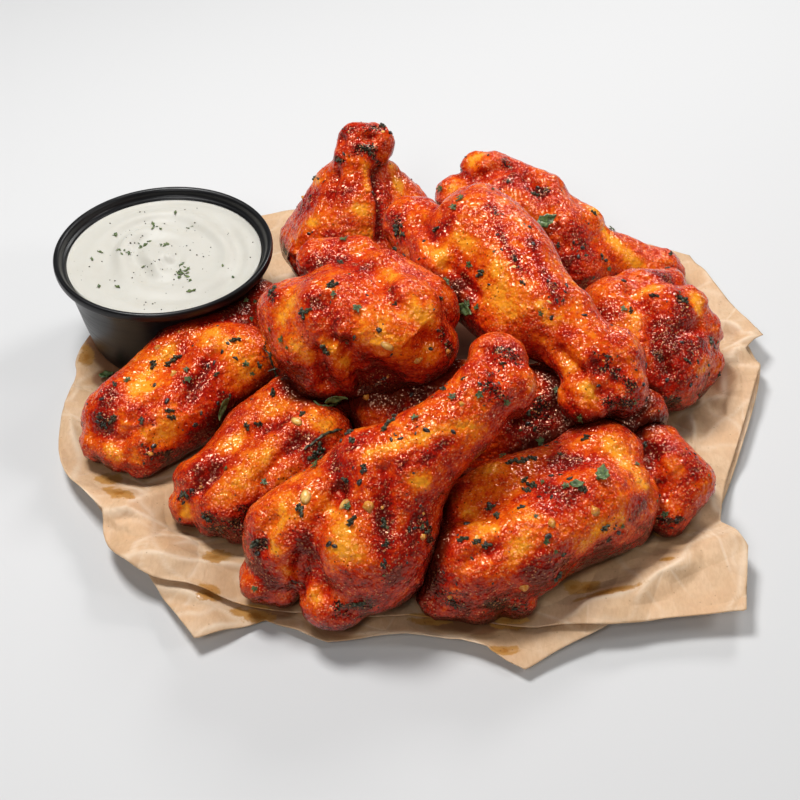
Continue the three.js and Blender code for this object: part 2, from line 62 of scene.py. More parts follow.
# The camera looks along +Y and down. Its pixels are those of the photograph.
PHOTO_SIZE = 800
CAMERA = {"place": (-4, -256, 242), "pitch": 46.86, "lens": 56.25, "sensor": 36}

# The paper and the pot, as the frame has them.
SHEET = {"thickness": 0.5, "gap": 0.35, "wave": 3.2, "lift": 1.3}
FLAT_UNDER_HEAP = (72, 60)  # half axes of the part of the paper that lies flat
WAVE_RUN = 26  # how far out from there the waves reach their full height
UPPER_BASE = SHEET["thickness"] + SHEET["gap"]
POT = {"rim": 31, "rim_width": 2.4, "base": 24.6, "wall": 0.9, "foot": 0.7, "height": 29.1}
POT_BOX = [np.array(corner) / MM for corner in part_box("pot")]
POT_PLACE = np.array([*(POT_BOX[0] + POT_BOX[1])[:2] / 2, POT_BOX[0][2]])  # middle of its foot
DIP = {
    "below_rim": 3.3, "swirl": 0.9, "peak": 1.3, "spacing": 9, "cling": 0.35,
    "wall_gap": 0.12, "floor_gap": 0.3,
}


def middle_of(node):
    """The middle in mm of the box of one of the frame's nodes."""
    return np.mean(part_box(node), axis=0) / MM


# Settings shown in the sidebar.


class WingSettings(bpy.types.PropertyGroup):
    cell: FloatProperty(
        name="Mesh cell", description="Spacing of the skin's faces in mm", default=0.5, min=0.4
    )
    lumps: FloatProperty(
        name="Lumps", description="Height of the soft lumps of the skin in mm", default=0.42
    )
    wrinkles: FloatProperty(
        name="Wrinkles", description="Depth of the folds near the joints in mm", default=0.55
    )
    folds: FloatProperty(
        name="Folds", description="Depth of the folds between the lobes in mm", default=2.0
    )
    pale: FloatVectorProperty(
        name="Palest skin", description="Bare skin between the glaze", subtype="COLOR",
        default=(1.0, 0.35, 0.02),
    )
    golden: FloatVectorProperty(
        name="Golden skin", description="Where the glaze is thin", subtype="COLOR",
        default=(0.86, 0.15, 0.006),
    )
    glaze: FloatVectorProperty(
        name="Orange glaze", description="Most of the skin", subtype="COLOR",
        default=(0.66, 0.047, 0.003),
    )
    sauce: FloatVectorProperty(
        name="Red sauce", description="Where sauce has pooled", subtype="COLOR",
        default=(0.44, 0.009, 0.003),
    )
    thick_sauce: FloatVectorProperty(
        name="Thick sauce", description="Where sauce has baked on", subtype="COLOR",
        default=(0.16, 0.004, 0.003),
    )
    char: FloatVectorProperty(
        name="Charred skin", description="Burnt edges and knuckles", subtype="COLOR",
        default=(0.012, 0.004, 0.003),
    )


class PaperSettings(bpy.types.PropertyGroup):
    colour: FloatVectorProperty(
        name="Paper", description="Colour of the dry paper", subtype="COLOR",
        default=(0.66, 0.41, 0.225),
    )
    stain: FloatVectorProperty(
        name="Sauce stain", description="Colour where sauce has soaked in", subtype="COLOR",
        default=(0.40, 0.15, 0.018),
    )
    thickness: FloatProperty(
        name="Thickness", description="Thickness of one sheet in mm", default=0.22
    )
    creases: FloatProperty(
        name="Creases", description="Height of the sharp creases in mm", default=3.6
    )


class PotSettings(bpy.types.PropertyGroup):
    plastic: FloatVectorProperty(
        name="Plastic", description="Colour of the pot", subtype="COLOR",
        default=(0.007, 0.007, 0.008),
    )
    dip: FloatVectorProperty(
        name="Dip", description="Colour of the dip", subtype="COLOR",
        default=(0.58, 0.56, 0.50),
    )


class ToppingSettings(bpy.types.PropertyGroup):
    pepper: IntProperty(
        name="Pepper", description="Number of bits of cracked pepper", default=460
    )
    dried: IntProperty(
        name="Dried herb", description="Number of dark flakes of dried herb", default=150
    )
    fresh: IntProperty(
        name="Chopped parsley", description="Number of bits of chopped parsley", default=70
    )
    green: FloatVectorProperty(
        name="Parsley", description="Colour of the fresh leaves", subtype="COLOR",
        default=(0.035, 0.065, 0.014),
    )


class StageSettings(bpy.types.PropertyGroup):
    key: FloatProperty(name="Key light", description="Power of the key light in W", default=3.3)
    sky: FloatProperty(name="Sky", description="Strength of the light all round", default=0.05)


# Repeatable noise on points, each a row of x, y and z.


# Large odd numbers that scramble a cell's place and a seed, with the shift before each of two.
CELL_PRIMES = np.array([73856093, 19349663, 83492791])
SEED_PRIME = 2654435761
SCRAMBLERS = ((13, 1274126177), (15, 2246822519))
MASK_32_BITS = 0xFFFFFFFF


def hashed(cells, seed):
    """A repeatable number from -1 to 1 for each row of whole numbers."""
    mixed = (cells @ CELL_PRIMES) ^ (seed * SEED_PRIME)
    for shift, factor in SCRAMBLERS:
        mixed = ((mixed ^ (mixed >> shift)) & MASK_32_BITS) * factor & MASK_32_BITS
    return (mixed ^ (mixed >> 16)) / 2.0**31 - 1


def value_noise(points, seed):
    """Smooth noise from -1 to 1 with features about one unit wide."""
    cells = np.floor(points).astype(np.int64)
    share = points - cells
    share = share * share * share * (share * (share * 6 - 15) + 10)
    total = 0
    for corner in np.ndindex(2, 2, 2):
        weight = np.prod(np.where(corner, share, 1 - share), axis=1)
        total = total + weight * hashed(cells + corner, seed)
    return total


# Turns one lattice against the next, so that octaves don't line up.
TWIST = np.array([[0.36, 0.48, -0.8], [-0.8, 0.6, 0.0], [0.48, 0.64, 0.6]])


def layered_noise(points, width, seed, octaves=3):
    """Noise whose largest features are about width mm, each octave half the last."""
    total = 0
    places = points / width
    for octave in range(octaves):
        total = total + value_noise(places, seed + octave) / 2**octave
        places = places @ TWIST * 2
    return total / (2 - 2.0 ** (1 - octaves))


def smooth_step(low, high, values):
    """0 below low, 1 above high and smooth between."""
    share = np.clip((values - low) / (high - low), 0, 1)
    return share * share * (3 - 2 * share)


# The paper's height. Both sheets lie flat under the heap and wave outside it.

PAPER_LEVEL = 3  # height at which pixels of the photograph are taken to meet the paper

# Sharp creases as pixels of the photograph from one end to the other, with the height as a
# share of the setting and the width in mm of the slopes on the left and right of the line.
CREASES = [
    ((64, 484), (105, 521), 0.7, 18, 1.6),
    ((105, 521), (172, 531), 0.9, 20, 1.6),
    ((172, 531), (206, 554), 0.6, 9, 5),
    ((134, 517), (150, 503), 0.6, 4, 7),
    ((150, 503), (122, 482), 0.4, 8, 6),
    ((118, 571), (256, 573), 0.8, 7, 9),
    ((152, 592), (212, 609), 0.5, 10, 2),
    ((212, 609), (300, 619), 0.6, 9, 2),
    ((180, 555), (214, 536), 0.5, 6, 5),
    ((70, 425), (82, 462), 0.5, 8, 4),
    ((82, 462), (76, 486), 0.4, 5, 8),
    ((196, 640), (240, 616), 0.4, 8, 8),
    ((452, 652), (468, 634), 1.2, 6, 5),
    ((468, 634), (486, 655), 1.2, 6, 5),
    ((330, 628), (410, 636), 0.6, 4, 8),
    ((410, 636), (468, 634), 0.5, 8, 4),
    ((560, 622), (640, 596), 0.7, 7, 10),
    ((631, 610), (694, 549), 0.9, 9, 6),
    ((694, 549), (744, 541), 0.7, 5, 8),
    ((646, 530), (722, 538), 0.9, 8, 5),
    ((700, 470), (724, 530), 0.6, 6, 9),
    ((682, 412), (702, 402), 0.8, 5, 5),
    ((702, 402), (706, 398), 1.2, 4, 4),
    ((706, 398), (726, 402), 1.2, 5, 3),
    ((706, 398), (700, 384), 0.8, 5, 5),
    ((726, 402), (724, 374), 1.0, 4, 8),
    ((724, 374), (742, 362), 1.1, 9, 4),
    ((722, 364), (757, 350), 0.9, 6, 5),
    ((716, 330), (742, 346), 0.7, 8, 4),
    ((742, 346), (757, 350), 0.7, 6, 4),
    ((694, 410), (696, 442), 0.7, 3, 8),
    ((668, 428), (694, 436), 0.4, 6, 6),
    ((690, 300), (722, 336), 0.4, 8, 8),
]
CREASE_FADE = 0.5  # how much lower a crease is at its ends
CREASE_LINE = 0.8  # half the width of the pale line along a crease
WANDER = {"far": 1.2, "width": 7, "seeds": (63, 64)}  # how far creases stray, and how slowly
PAPER_ROOM = (0.5, 9)  # creases grow between these distances from what lies on the paper
STEEPEST = 0.45  # most that a crease rises for each mm of that distance

# The crumpled paper's flat facets: the heading of each run of folds in degrees, half its
# spacing in mm and its height as a share of the setting.
FACETS = [(20, 13, 0.42), (75, 17, 0.5), (132, 11, 0.36), (165, 23, 0.5)]
FACET_LINE = 0.7  # half the width of the pale line along a fold between facets


def camera_rays(pixels):
    """The camera's place and a direction for each pixel of the photograph."""
    focal = PHOTO_SIZE * CAMERA["lens"] / CAMERA["sensor"]
    tilt = math.radians(CAMERA["pitch"])
    right, up, back = np.array([
        [1, 0, 0],
        [0, math.cos(tilt), math.sin(tilt)],
        [0, -math.sin(tilt), math.cos(tilt)],
    ])
    across = (np.array(pixels, float) - PHOTO_SIZE / 2) / focal
    rays = across[:, :1] * right - across[:, 1:] * up - back
    return np.array(CAMERA["place"], float), rays / np.linalg.norm(rays, axis=1)[:, None]


def on_level(pixels, height):
    """Where the rays through some pixels reach a height."""
    eye, rays = camera_rays(pixels)
    return (eye + rays * ((height - eye[2]) / rays[:, 2])[:, None])[:, :2]


def distance_to_line(points, start, end):
    """How far points are from a line, and how far along it their nearest place is, from 0 to 1."""
    line = end - start
    share = np.clip((points - start) @ line / (line @ line), 0, 1)
    return np.linalg.norm(points - start - share[:, None] * line, axis=1), share


def wave_share(x, y):
    """How much of its waves the paper has: none under the heap and the pot, all far out."""
    radius_x, radius_y = FLAT_UNDER_HEAP
    oval = (np.hypot(x / radius_x, y / radius_y) - 1) * radius_y
    pot_foot = np.hypot(x - POT_PLACE[0], y - POT_PLACE[1]) - POT["base"] - 2
    return smooth_step(0, WAVE_RUN, np.minimum(oval, pot_foot))


def paper_height(x, y):
    """Height of a sheet's waves, as in the frame's source."""
    angle = np.arctan2(y, x)
    wave = 0.5 + 0.3 * np.sin(7 * angle + 1.1) + 0.2 * np.sin(4 * angle + 0.02 * x)
    return SHEET["wave"] * wave_share(x, y) * wave


def paper_top(x, y):
    """Height of the upper sheet's upper face, without its creases."""
    lift = SHEET["lift"] * wave_share(x, y)
    return UPPER_BASE + paper_height(x, y) + lift + SHEET["thickness"]


def crease_height(x, y, most):
    """Creases and crumples, which only raise the paper, with all kept clear of what lies on
    it. The second result is how sharp the paper's fold is at each place, from 0 to 1."""
    places = np.stack([x, y], axis=1)
    spots = np.stack([x, y, np.zeros(len(places))], axis=1)
    wander = WANDER["far"] * np.stack(
        [value_noise(spots / WANDER["width"], seed) for seed in WANDER["seeds"]], axis=1
    )
    height = np.zeros(len(places))
    line_share = np.zeros(len(places))
    for first, last, share, left, right in CREASES:
        start, end = on_level([first, last], PAPER_LEVEL)
        away, along = distance_to_line(places + wander, start, end)
        across = (places + wander - start) @ np.array([start[1] - end[1], end[0] - start[0]])
        width = np.where(across > 0, left, right)
        fade = 1 - CREASE_FADE * np.abs(2 * along - 1) ** 2
        height = np.maximum(height, share * fade * np.clip(1 - away / width, 0, 1))
        line_share = np.maximum(line_share, fade * np.exp(-((away / CREASE_LINE) ** 2)))
    for heading, width, share in FACETS:
        angle = math.radians(heading)
        phase = (places + 2.5 * wander) @ [math.cos(angle), math.sin(angle)] / width
        ridge = np.abs(phase % 2 - 1)
        strong = 0.5 + 0.5 * value_noise(spots / 30 + heading, 65)
        height = height + share * strong * ridge
        line = np.exp(-((width * (1 - ridge) / FACET_LINE) ** 2))
        line_share = np.maximum(line_share, 0.8 * strong * line)
    rest = distance_over_paper(x, y)
    return np.minimum(height * most * smooth_step(*PAPER_ROOM, rest), STEEPEST * rest), line_share


def distance_over_paper(x, y):
    """How far the paper's upper face is from the nearest food, pot or leaf on it."""
    spots = np.stack([x, y, paper_top(x, y)], axis=1)
    leaf_radius, pot_room = 3, 1
    rest = np.linalg.norm(spots - middle_of("leaf_paper"), axis=1) - leaf_radius
    pot_foot = np.hypot(x - POT_PLACE[0], y - POT_PLACE[1]) - POT["base"] - pot_room
    rest = np.minimum(rest, pot_foot)
    for piece in PIECES:
        rest = np.minimum(rest, distance_to_skin(to_piece(piece, spots), piece))
    return np.maximum(rest, 0)


# Flesh and bone under the skin, as in the frame's source.


def muscle(start, end, thick, thin, blend=2):
    """A rounded cone between two places, its radius at each, and how far it blends with the rest."""
    return (np.array(start, float), np.array(end, float), thick, thin, blend)


def knob(place, radius, blend=2):
    """A ball of flesh or bone."""
    return muscle(place, place, radius, radius, blend)


# The heap from the bottom up. Place is the middle of the thick end, heading the compass of the
# length in degrees from +X, and rise how far the other end is tipped up. The paint strokes run
# between two pixels of the photograph, each with its radius in mm.
PIECES = [
    {
        "name": "flat_left",
        "place": (-74, -21, 13), "heading": 51, "rise": 3, "seed": 1,
        "flesh": [
            muscle((-1, 6, -1), (41, 7, 0), 8.5, 11.5),
            muscle((1, -4, -2), (31, -7, 0), 9.5, 13),
            knob((-8, 5, -4), 5.5, 1.5),
            knob((-7, -1, -4), 5.5, 1.5),
            knob((-4, -6, -5), 5.5, 1.5),
            muscle((45, 7, 1.5), (51, 4, 1.5), 8, 8),
        ],
        "folds": [
            ((184, 404), (196, 380)), ((196, 380), (214, 352)), ((120, 440), (134, 428)),
            ((150, 400), (132, 420)),
        ],
        "golden": [
            ((214, 334), (248, 376), 3.6), ((136, 392), (168, 352), 2.2),
            ((165, 432), (180, 412), 3.4), ((111, 450), (115, 458), 1.6), ((138, 458), (142, 460), 1.6),
        ],
        "sauce": [
            ((188, 406), (214, 366), 3.8), ((158, 332), (140, 350), 3), ((236, 306), (258, 314), 5),
            ((108, 398), (98, 420), 2.6), ((222, 400), (200, 430), 2.6),
        ],
        "char": [
            ((104, 425), (112, 421), 1.6), ((142, 421), (150, 421), 1.5), ((150, 452), (170, 452), 2.4),
        ],
    },
    {
        "name": "flat_front_left",
        "place": (-50, -43, 12), "heading": 44, "rise": 4, "seed": 2,
        "flesh": [
            muscle((0, 4, 0), (30, 6, 0), 7.5, 11),
            muscle((0, -4, -2), (24, -7, 0), 8.5, 12.5),
            knob((-6, 3, -4), 5.5, 1.5),
            knob((-5, -4, -4), 5, 1.5),
            knob((-1, -9, -5), 5.5, 1.5),
            muscle((37, -1, 0), (43, -6, -3), 9, 8),
        ],
        "folds": [
            ((252, 432), (300, 408)), ((198, 490), (214, 472)), ((262, 478), (296, 440)),
        ],
        "golden": [
            ((226, 448), (290, 398), 1.7), ((258, 462), (270, 452), 2.6),
            ((226, 490), (248, 468), 2.2), ((186, 508), (188, 514), 1.8), ((316, 420), (328, 424), 2),
        ],
        "sauce": [
            ((298, 442), (316, 450), 3), ((200, 476), (216, 458), 3.4), ((262, 426), (280, 424), 2),
        ],
        "char": [
            ((214, 528), (236, 524), 3), ((180, 497), (190, 493), 1.5), ((206, 517), (212, 514), 1.5),
            ((244, 514), (250, 508), 2.5),
        ],
    },
    {
        "name": "flat_front_right",
        "place": (15, -65, 14), "heading": 32, "rise": 3, "seed": 3,
        "flesh": [
            muscle((5, 8, 0), (40, 5, 1), 11, 11),
            muscle((-4, -1, -2), (37, -4, -2), 12, 12),
            muscle((10, -6, 2), (28, -5, 3), 11, 10, 4),
            knob((-11, -2, -5), 6.5, 1.5),
            knob((-5, -7, -7), 6),
            knob((2, -12, -7), 4.5, 1.5),
            muscle((57, 3, -2), (56, -3, -3), 7, 8, 1.5),
            muscle((58, -8, -4), (50, -11, -8), 6, 6),
        ],
        "folds": [
            ((650, 450), (654, 500)), ((470, 560), (492, 548)),
        ],
        "golden": [
            ((492, 468), (530, 446), 2.2), ((472, 516), (490, 530), 2.2), ((520, 508), (532, 514), 1.9),
            ((515, 556), (526, 536), 1.8), ((612, 446), (644, 486), 2), ((584, 546), (622, 520), 2.2),
            ((454, 594), (458, 596), 1.3), ((672, 462), (678, 470), 1.8),
        ],
        "sauce": [
            ((546, 494), (566, 498), 3.4), ((530, 572), (560, 562), 3), ((560, 460), (580, 462), 3),
            ((645, 500), (600, 545), 1.6), ((660, 450), (690, 470), 3),
        ],
        "char": [
            ((436, 580), (452, 600), 3.4), ((490, 604), (520, 608), 2.4), ((430, 540), (440, 520), 1.8),
            ((664, 522), (680, 520), 1.6),
        ],
    },
    {
        "name": "flat_middle",
        "place": (-5, -21, 17), "heading": -4, "rise": 0, "seed": 4,
        "flesh": [
            muscle((-3, 2, 2), (53, 5, 2), 10.5, 10.5),
            muscle((-1, -2, -4), (53, -2, -3), 11.5, 11),
            knob((62, 3, 0), 8),
        ],
        "folds": [
            ((480, 436), (520, 424)),
        ],
        "golden": [((384, 404), (404, 398), 1.6)],
        "sauce": [((400, 408), (420, 400), 3), ((476, 434), (520, 420), 4)],
        "char": [((584, 424), (606, 430), 2), ((540, 412), (570, 420), 4)],
    },
    {
        "name": "drumette_right",
        "place": (60, 5, 19), "heading": 33, "rise": 6, "seed": 5,
        "flesh": [
            muscle((0, 8, 1), (0, -5, -3), 12.5, 13),
            muscle((8, -1, 1), (3, -10, -3), 12.5, 12, 1.5),
            muscle((10, 10, 6), (20, 9, 3), 7, 6.5, 1.5),
            knob((16, -2, 5), 6, 1.2),
            knob((17, -6, -1), 6.5),
            knob((12, -12, -8), 7.5),
            muscle((-1, -10, -10), (9, -11, -12), 8, 7),
        ],
        "folds": [
            ((630, 290), (650, 312)), ((650, 312), (655, 346)), ((655, 346), (668, 372)),
            ((678, 330), (700, 326)),
        ],
        "golden": [
            ((626, 322), (640, 350), 3.8), ((638, 293), (656, 288), 1.4), ((695, 296), (698, 308), 1.6),
            ((700, 372), (708, 362), 1.3),
        ],
        "sauce": [
            ((672, 320), (680, 350), 4.5), ((604, 318), (616, 314), 3), ((690, 352), (700, 345), 3),
            ((660, 276), (668, 280), 2.6), ((640, 380), (670, 375), 3.4),
        ],
        "char": [
            ((678, 296), (690, 308), 1.6), ((655, 352), (662, 358), 1.5), ((644, 404), (672, 402), 3.4),
            ((710, 338), (714, 345), 1.3),
        ],
    },
    {
        "name": "drumette_back",
        "place": (-17, 54, 20), "heading": 56, "rise": 79, "seed": 6,
        "flesh": [
            muscle((-2, 0, 4), (23, 2, 1), 19, 7, 4),
            muscle((0, -9, -8), (17, -1, -7), 15.5, 6.5),
            muscle((-5, 11, 7), (13, 6, 2), 10, 8),
            knob((28, 3, 0), 5.5),
            knob((27, 0, -4), 6),
        ],
        "folds": [
            ((376, 176), (382, 204)), ((382, 204), (380, 240)), ((334, 176), (326, 206)),
            ((340, 140), (372, 138)),
        ],
        "golden": [
            ((314, 222), (320, 240), 2), ((366, 168), (368, 188), 1.1), ((356, 204), (364, 212), 2.2),
            ((326, 158), (318, 182), 1.6), ((386, 156), (392, 164), 1.5), ((398, 186), (402, 200), 1.6),
            ((350, 236), (366, 236), 2.2),
        ],
        "sauce": [
            ((332, 236), (336, 242), 1.6), ((377, 180), (384, 240), 1.7), ((345, 188), (348, 200), 2),
            ((302, 210), (310, 196), 2.2),
        ],
        "char": [
            ((358, 147), (372, 151), 2), ((337, 158), (342, 162), 1.3), ((284, 248), (288, 256), 1.6),
            ((408, 168), (428, 190), 2), ((346, 130), (384, 130), 1.6), ((372, 158), (378, 164), 1.5),
        ],
    },
    {
        "name": "drumette_back_right",
        "place": (30, 63, 20), "heading": -15, "rise": -15, "seed": 7,
        "flesh": [
            muscle((-2, 3, 0), (16, -4, 1), 14.5, 13.5, 3),
            muscle((-10, 6, 7), (7, 4, 9), 7.5, 7, 1.5),
            knob((-15, 8, 7), 5, 1.5),
            knob((-15, 2, -2), 8.5, 1.5),
            knob((21, -1, 7), 7, 1.5),
            muscle((14, -8, -3), (24, -10, -2), 13, 11.5),
            muscle((25, -4, 2), (43, 0, 0), 8, 7),
            knob((48, -1, 1), 7.5),
        ],
        "folds": [
            ((528, 176), (548, 206)), ((548, 206), (566, 246)), ((566, 246), (574, 284)),
            ((478, 176), (510, 166)),
        ],
        "golden": [
            ((604, 232), (636, 264), 1.6), ((586, 202), (594, 210), 2), ((452, 190), (466, 188), 1.8),
            ((472, 160), (480, 156), 1.5),
        ],
        "sauce": [
            ((552, 252), (566, 262), 4), ((575, 236), (585, 250), 3), ((496, 190), (510, 180), 2.6),
            ((590, 285), (600, 280), 2.6),
        ],
        "char": [
            ((530, 188), (544, 190), 2.2), ((560, 288), (574, 296), 3.4), ((505, 160), (512, 164), 1.6),
        ],
    },
    {
        "name": "drumette_front",
        "place": (-19, -63, 18.4), "heading": 35, "rise": 29, "seed": 8,
        "flesh": [
            muscle((-9, 6, 2), (15, 4, 4), 12, 9.5, 3),
            muscle((3, -7, -3), (20, -4, 1), 15.5, 11, 1.5),
            muscle((-20, 5, 0), (-18, 2, -3), 6.5, 6, 1.5),
            knob((-9, -9, -4), 9, 1.5),
            knob((-12, -4, 1), 4, 1),
            muscle((16, -3, 4), (47, -2, 1), 10, 8.5, 4),
            knob((55, 3, -1), 7.2, 2.5),
            knob((52, -4, -2), 7.2, 1.5),
        ],
        "folds": [
            ((338, 492), (318, 524)), ((318, 524), (312, 560)), ((312, 560), (322, 592)),
            ((384, 470), (386, 530)), ((272, 520), (262, 548)), ((486, 350), (500, 376)),
            ((300, 558), (296, 590)),
        ],
        "golden": [
            ((368, 454), (398, 444), 1.6), ((398, 444), (470, 424), 1.4), ((340, 530), (346, 552), 2.4),
            ((326, 506), (334, 516), 1.8), ((276, 524), (286, 502), 2), ((296, 478), (300, 466), 1.5),
            ((270, 540), (274, 548), 1.5), ((412, 470), (420, 482), 1.8), ((286, 572), (290, 580), 1.3),
            ((314, 594), (318, 600), 1.2),
        ],
        "sauce": [
            ((352, 446), (362, 440), 2.6), ((338, 460), (346, 474), 3), ((382, 482), (388, 566), 1.9),
            ((258, 556), (264, 572), 2.6), ((404, 470), (442, 446), 1.6), ((300, 540), (310, 560), 1.5),
            ((420, 510), (400, 570), 2.4),
        ],
        "char": [
            ((500, 350), (518, 362), 2.2), ((488, 384), (504, 396), 2), ((340, 608), (370, 606), 2.4),
            ((424, 520), (430, 540), 2), ((292, 586), (300, 590), 1.4), ((486, 372), (492, 372), 1.5),
            ((262, 540), (256, 548), 1.1),
        ],
    },
    {
        "name": "drumette_left",
        "place": (-21, -12, 36), "heading": 19, "rise": 14, "seed": 9,
        "flesh": [
            muscle((4, 2, -1), (13, 0, -3), 17, 16),
            muscle((-6, 9, 4), (-7, 0, 0), 9.5, 9.5),
            knob((-6, -4, -6), 9, 1.5),
            muscle((16, -8, 2), (18, -11, -5), 12, 10, 1.5),
            muscle((4, 20, 6), (14, 17, 5), 6, 6.5),
            muscle((18, 8, 5), (25, -2, -1), 7, 8, 1.2),
            muscle((2, -7, -9), (8, -10, -10), 7, 6.5, 1.5),
        ],
        "folds": [
            ((373, 268), (396, 304)), ((396, 304), (430, 342)), ((344, 346), (357, 374)),
            ((357, 374), (362, 392)), ((324, 300), (332, 342)), ((318, 354), (326, 384)),
            ((276, 280), (290, 270)),
        ],
        "golden": [
            ((292, 300), (284, 316), 1.9), ((298, 348), (304, 354), 2.4), ((336, 350), (352, 372), 3),
            ((376, 342), (412, 360), 4.4), ((410, 310), (430, 322), 2.6), ((378, 270), (392, 276), 1.8),
        ],
        "sauce": [
            ((306, 270), (320, 262), 2.4), ((312, 300), (346, 346), 1.9), ((294, 374), (304, 380), 2.4),
            ((340, 262), (360, 268), 2.4), ((366, 376), (380, 384), 2.4), ((390, 286), (414, 320), 1),
        ],
        "char": [
            ((272, 286), (274, 300), 1.5), ((442, 330), (450, 350), 2), ((380, 388), (400, 386), 2.2),
        ],
    },
    {
        "name": "drumette_top",
        "place": (15, 15, 43), "heading": -51, "rise": -11, "seed": 10,
        "flesh": [
            muscle((-1, 5, 0), (28, 0, 2), 14, 10.5, 3),
            muscle((-19, -3, -6), (-3, -6, -4), 8.5, 10),
            muscle((0, -4, -5), (24, -5, -3), 11, 9, 1.5),
            muscle((-6, 9, 5), (32, 4, 5), 6, 5.5, 1.5),
            muscle((26, 1, 1), (46, 0, 0), 9.5, 8.5, 4),
            knob((50, 6, 0), 7.5, 2.5),
            knob((56, 3, -3), 7.5, 1.5),
            knob((52, -5, -4), 7, 1.5),
            knob((52, -4, 1), 4, 1),
        ],
        "folds": [
            ((448, 268), (476, 296)), ((476, 296), (512, 338)),
            ((560, 352), (580, 372)), ((596, 366), (602, 396)), ((420, 222), (436, 246)),
        ],
        "golden": [
            ((438, 252), (444, 260), 2.6), ((456, 236), (464, 244), 2), ((484, 284), (534, 328), 3.4),
            ((534, 328), (572, 362), 2.2), ((494, 268), (500, 280), 2.4), ((432, 200), (440, 200), 1.5),
            ((585, 384), (588, 392), 1.5), ((548, 364), (560, 400), 1.4), ((540, 306), (546, 322), 1.2),
        ],
        "sauce": [
            ((460, 284), (472, 286), 2), ((500, 232), (520, 270), 0.9), ((530, 326), (562, 340), 1.9),
            ((436, 232), (446, 226), 1.8), ((470, 300), (500, 335), 1.4), ((530, 240), (556, 300), 1.3),
        ],
        "char": [
            ((596, 354), (606, 364), 1.9), ((622, 374), (632, 388), 1.9), ((396, 218), (402, 236), 2),
            ((488, 206), (496, 214), 1.1), ((606, 400), (630, 404), 2), ((612, 372), (618, 378), 1.4),
        ],
    },
]


def turn_of(piece):
    """The rotation from a piece's own frame to the row frame."""
    rise = math.radians(piece["rise"])
    heading = math.radians(piece["heading"])
    tip = np.array([
        [math.cos(rise), 0, -math.sin(rise)],
        [0, 1, 0],
        [math.sin(rise), 0, math.cos(rise)],
    ])
    turn = np.array([
        [math.cos(heading), -math.sin(heading), 0],
        [math.sin(heading), math.cos(heading), 0],
        [0, 0, 1],
    ])
    return turn @ tip


def to_heap(piece, points):
    """Points of a piece's own frame, as places in the row frame."""
    return points @ turn_of(piece).T + np.array(piece["place"], float)


def to_piece(piece, points):
    """Places in the row frame, as points of a piece's own frame."""
    return (points - np.array(piece["place"], float)) @ turn_of(piece)


def distance_to_muscle(points, part):
    """Signed distance to one rounded cone."""
    start, end, thick, thin, _ = part
    axis = end - start
    offset = points - start
    length2 = float(axis @ axis)
    share = np.clip(offset @ axis / length2, 0, 1) if length2 > 0 else np.zeros(len(points))
    away = np.linalg.norm(offset - share[:, None] * axis, axis=1)
    return away - (thick + (thin - thick) * share)


def distance_to_skin(points, piece):
    """Signed distance to a piece's skin, from points in its own frame. Three slow waves, as in
    the frame's source, keep its outline from being smooth."""
    distance = None
    for part in piece["flesh"]:
        own = distance_to_muscle(points, part)
        if distance is None:
            distance = own
            continue
        blend = part[4]
        overlap = np.maximum(blend - np.abs(distance - own), 0) / blend
        distance = np.minimum(distance, own) - overlap * overlap * blend / 4
    x, y, z = points.T
    seed = piece["seed"]
    return distance - (
        0.5 * np.sin(0.21 * x + 0.13 * y + seed)
        + 0.4 * np.sin(0.17 * y - 0.26 * z + 2.1 * seed)
        + 0.35 * np.sin(0.31 * z + 0.24 * x - 1.7 * seed)
    )


TOUCH_GAP = 0.2  # kept between things that touch
TRIM_REACH = 6  # how near a piece's skin the trimming looks
FAR = 1e3  # stands for the distance to what is out of that reach


def distance_to_pot(points):
    """Signed distance to the pot's outer shape, which flares from foot to rim."""
    x, y, z = (points - POT_PLACE).T
    share = np.clip(z / POT["height"], 0, 1)
    wall = POT["base"] + (POT["rim"] - POT["rim_width"] - POT["base"]) * share
    rim_depth = 4
    radius = np.where(z > POT["height"] - rim_depth, POT["rim"], wall)
    return np.maximum(np.hypot(x, y) - radius, z - POT["height"])


def distance_to_rest(points, index):
    """Distance to everything that a piece must stay clear of: paper, pot and earlier pieces."""
    x, y, z = points.T
    distance = np.minimum(z - paper_top(x, y), distance_to_pot(points))
    for other in PIECES[:index]:
        distance = np.minimum(distance, distance_to_skin(to_piece(other, points), other))
    return distance


def distance_trimmed(points, index):
    """Signed distance to a piece pressed in where it touches what it rests on."""
    piece = PIECES[index]
    own = distance_to_skin(to_piece(piece, points), piece)
    near = own < TRIM_REACH
    rest = np.full(len(points), FAR)
    rest[near] = distance_to_rest(points[near], index)
    return np.maximum(own, TOUCH_GAP - rest)


def grid_points(corner, counts, cell, chosen=None):
    """The points of a grid, or of its chosen places."""
    places = np.argwhere(np.ones(counts, bool) if chosen is None else chosen)
    return corner + places * cell


COARSE = 4  # fine cells along one coarse cell
SKIN_BAND = 1.35  # coarse cells on either side of the skin that are worked out exactly


def distance_grid(index, corner, counts, cell):
    """Distances on a fine grid, worked out exactly only near the skin."""
    coarse_counts = tuple(-(-count // COARSE) + 1 for count in counts)
    middle = corner + cell * (COARSE - 1) / 2
    coarse = distance_trimmed(grid_points(middle, coarse_counts, cell * COARSE), index)
    coarse = coarse.reshape(coarse_counts)
    fine = coarse
    for axis in range(3):
        fine = np.repeat(fine, COARSE, axis=axis)
    fine = fine[: counts[0], : counts[1], : counts[2]].copy()
    near = np.abs(fine) < SKIN_BAND * COARSE * cell
    fine[near] = distance_trimmed(grid_points(corner, counts, cell, near), index)
    return fine


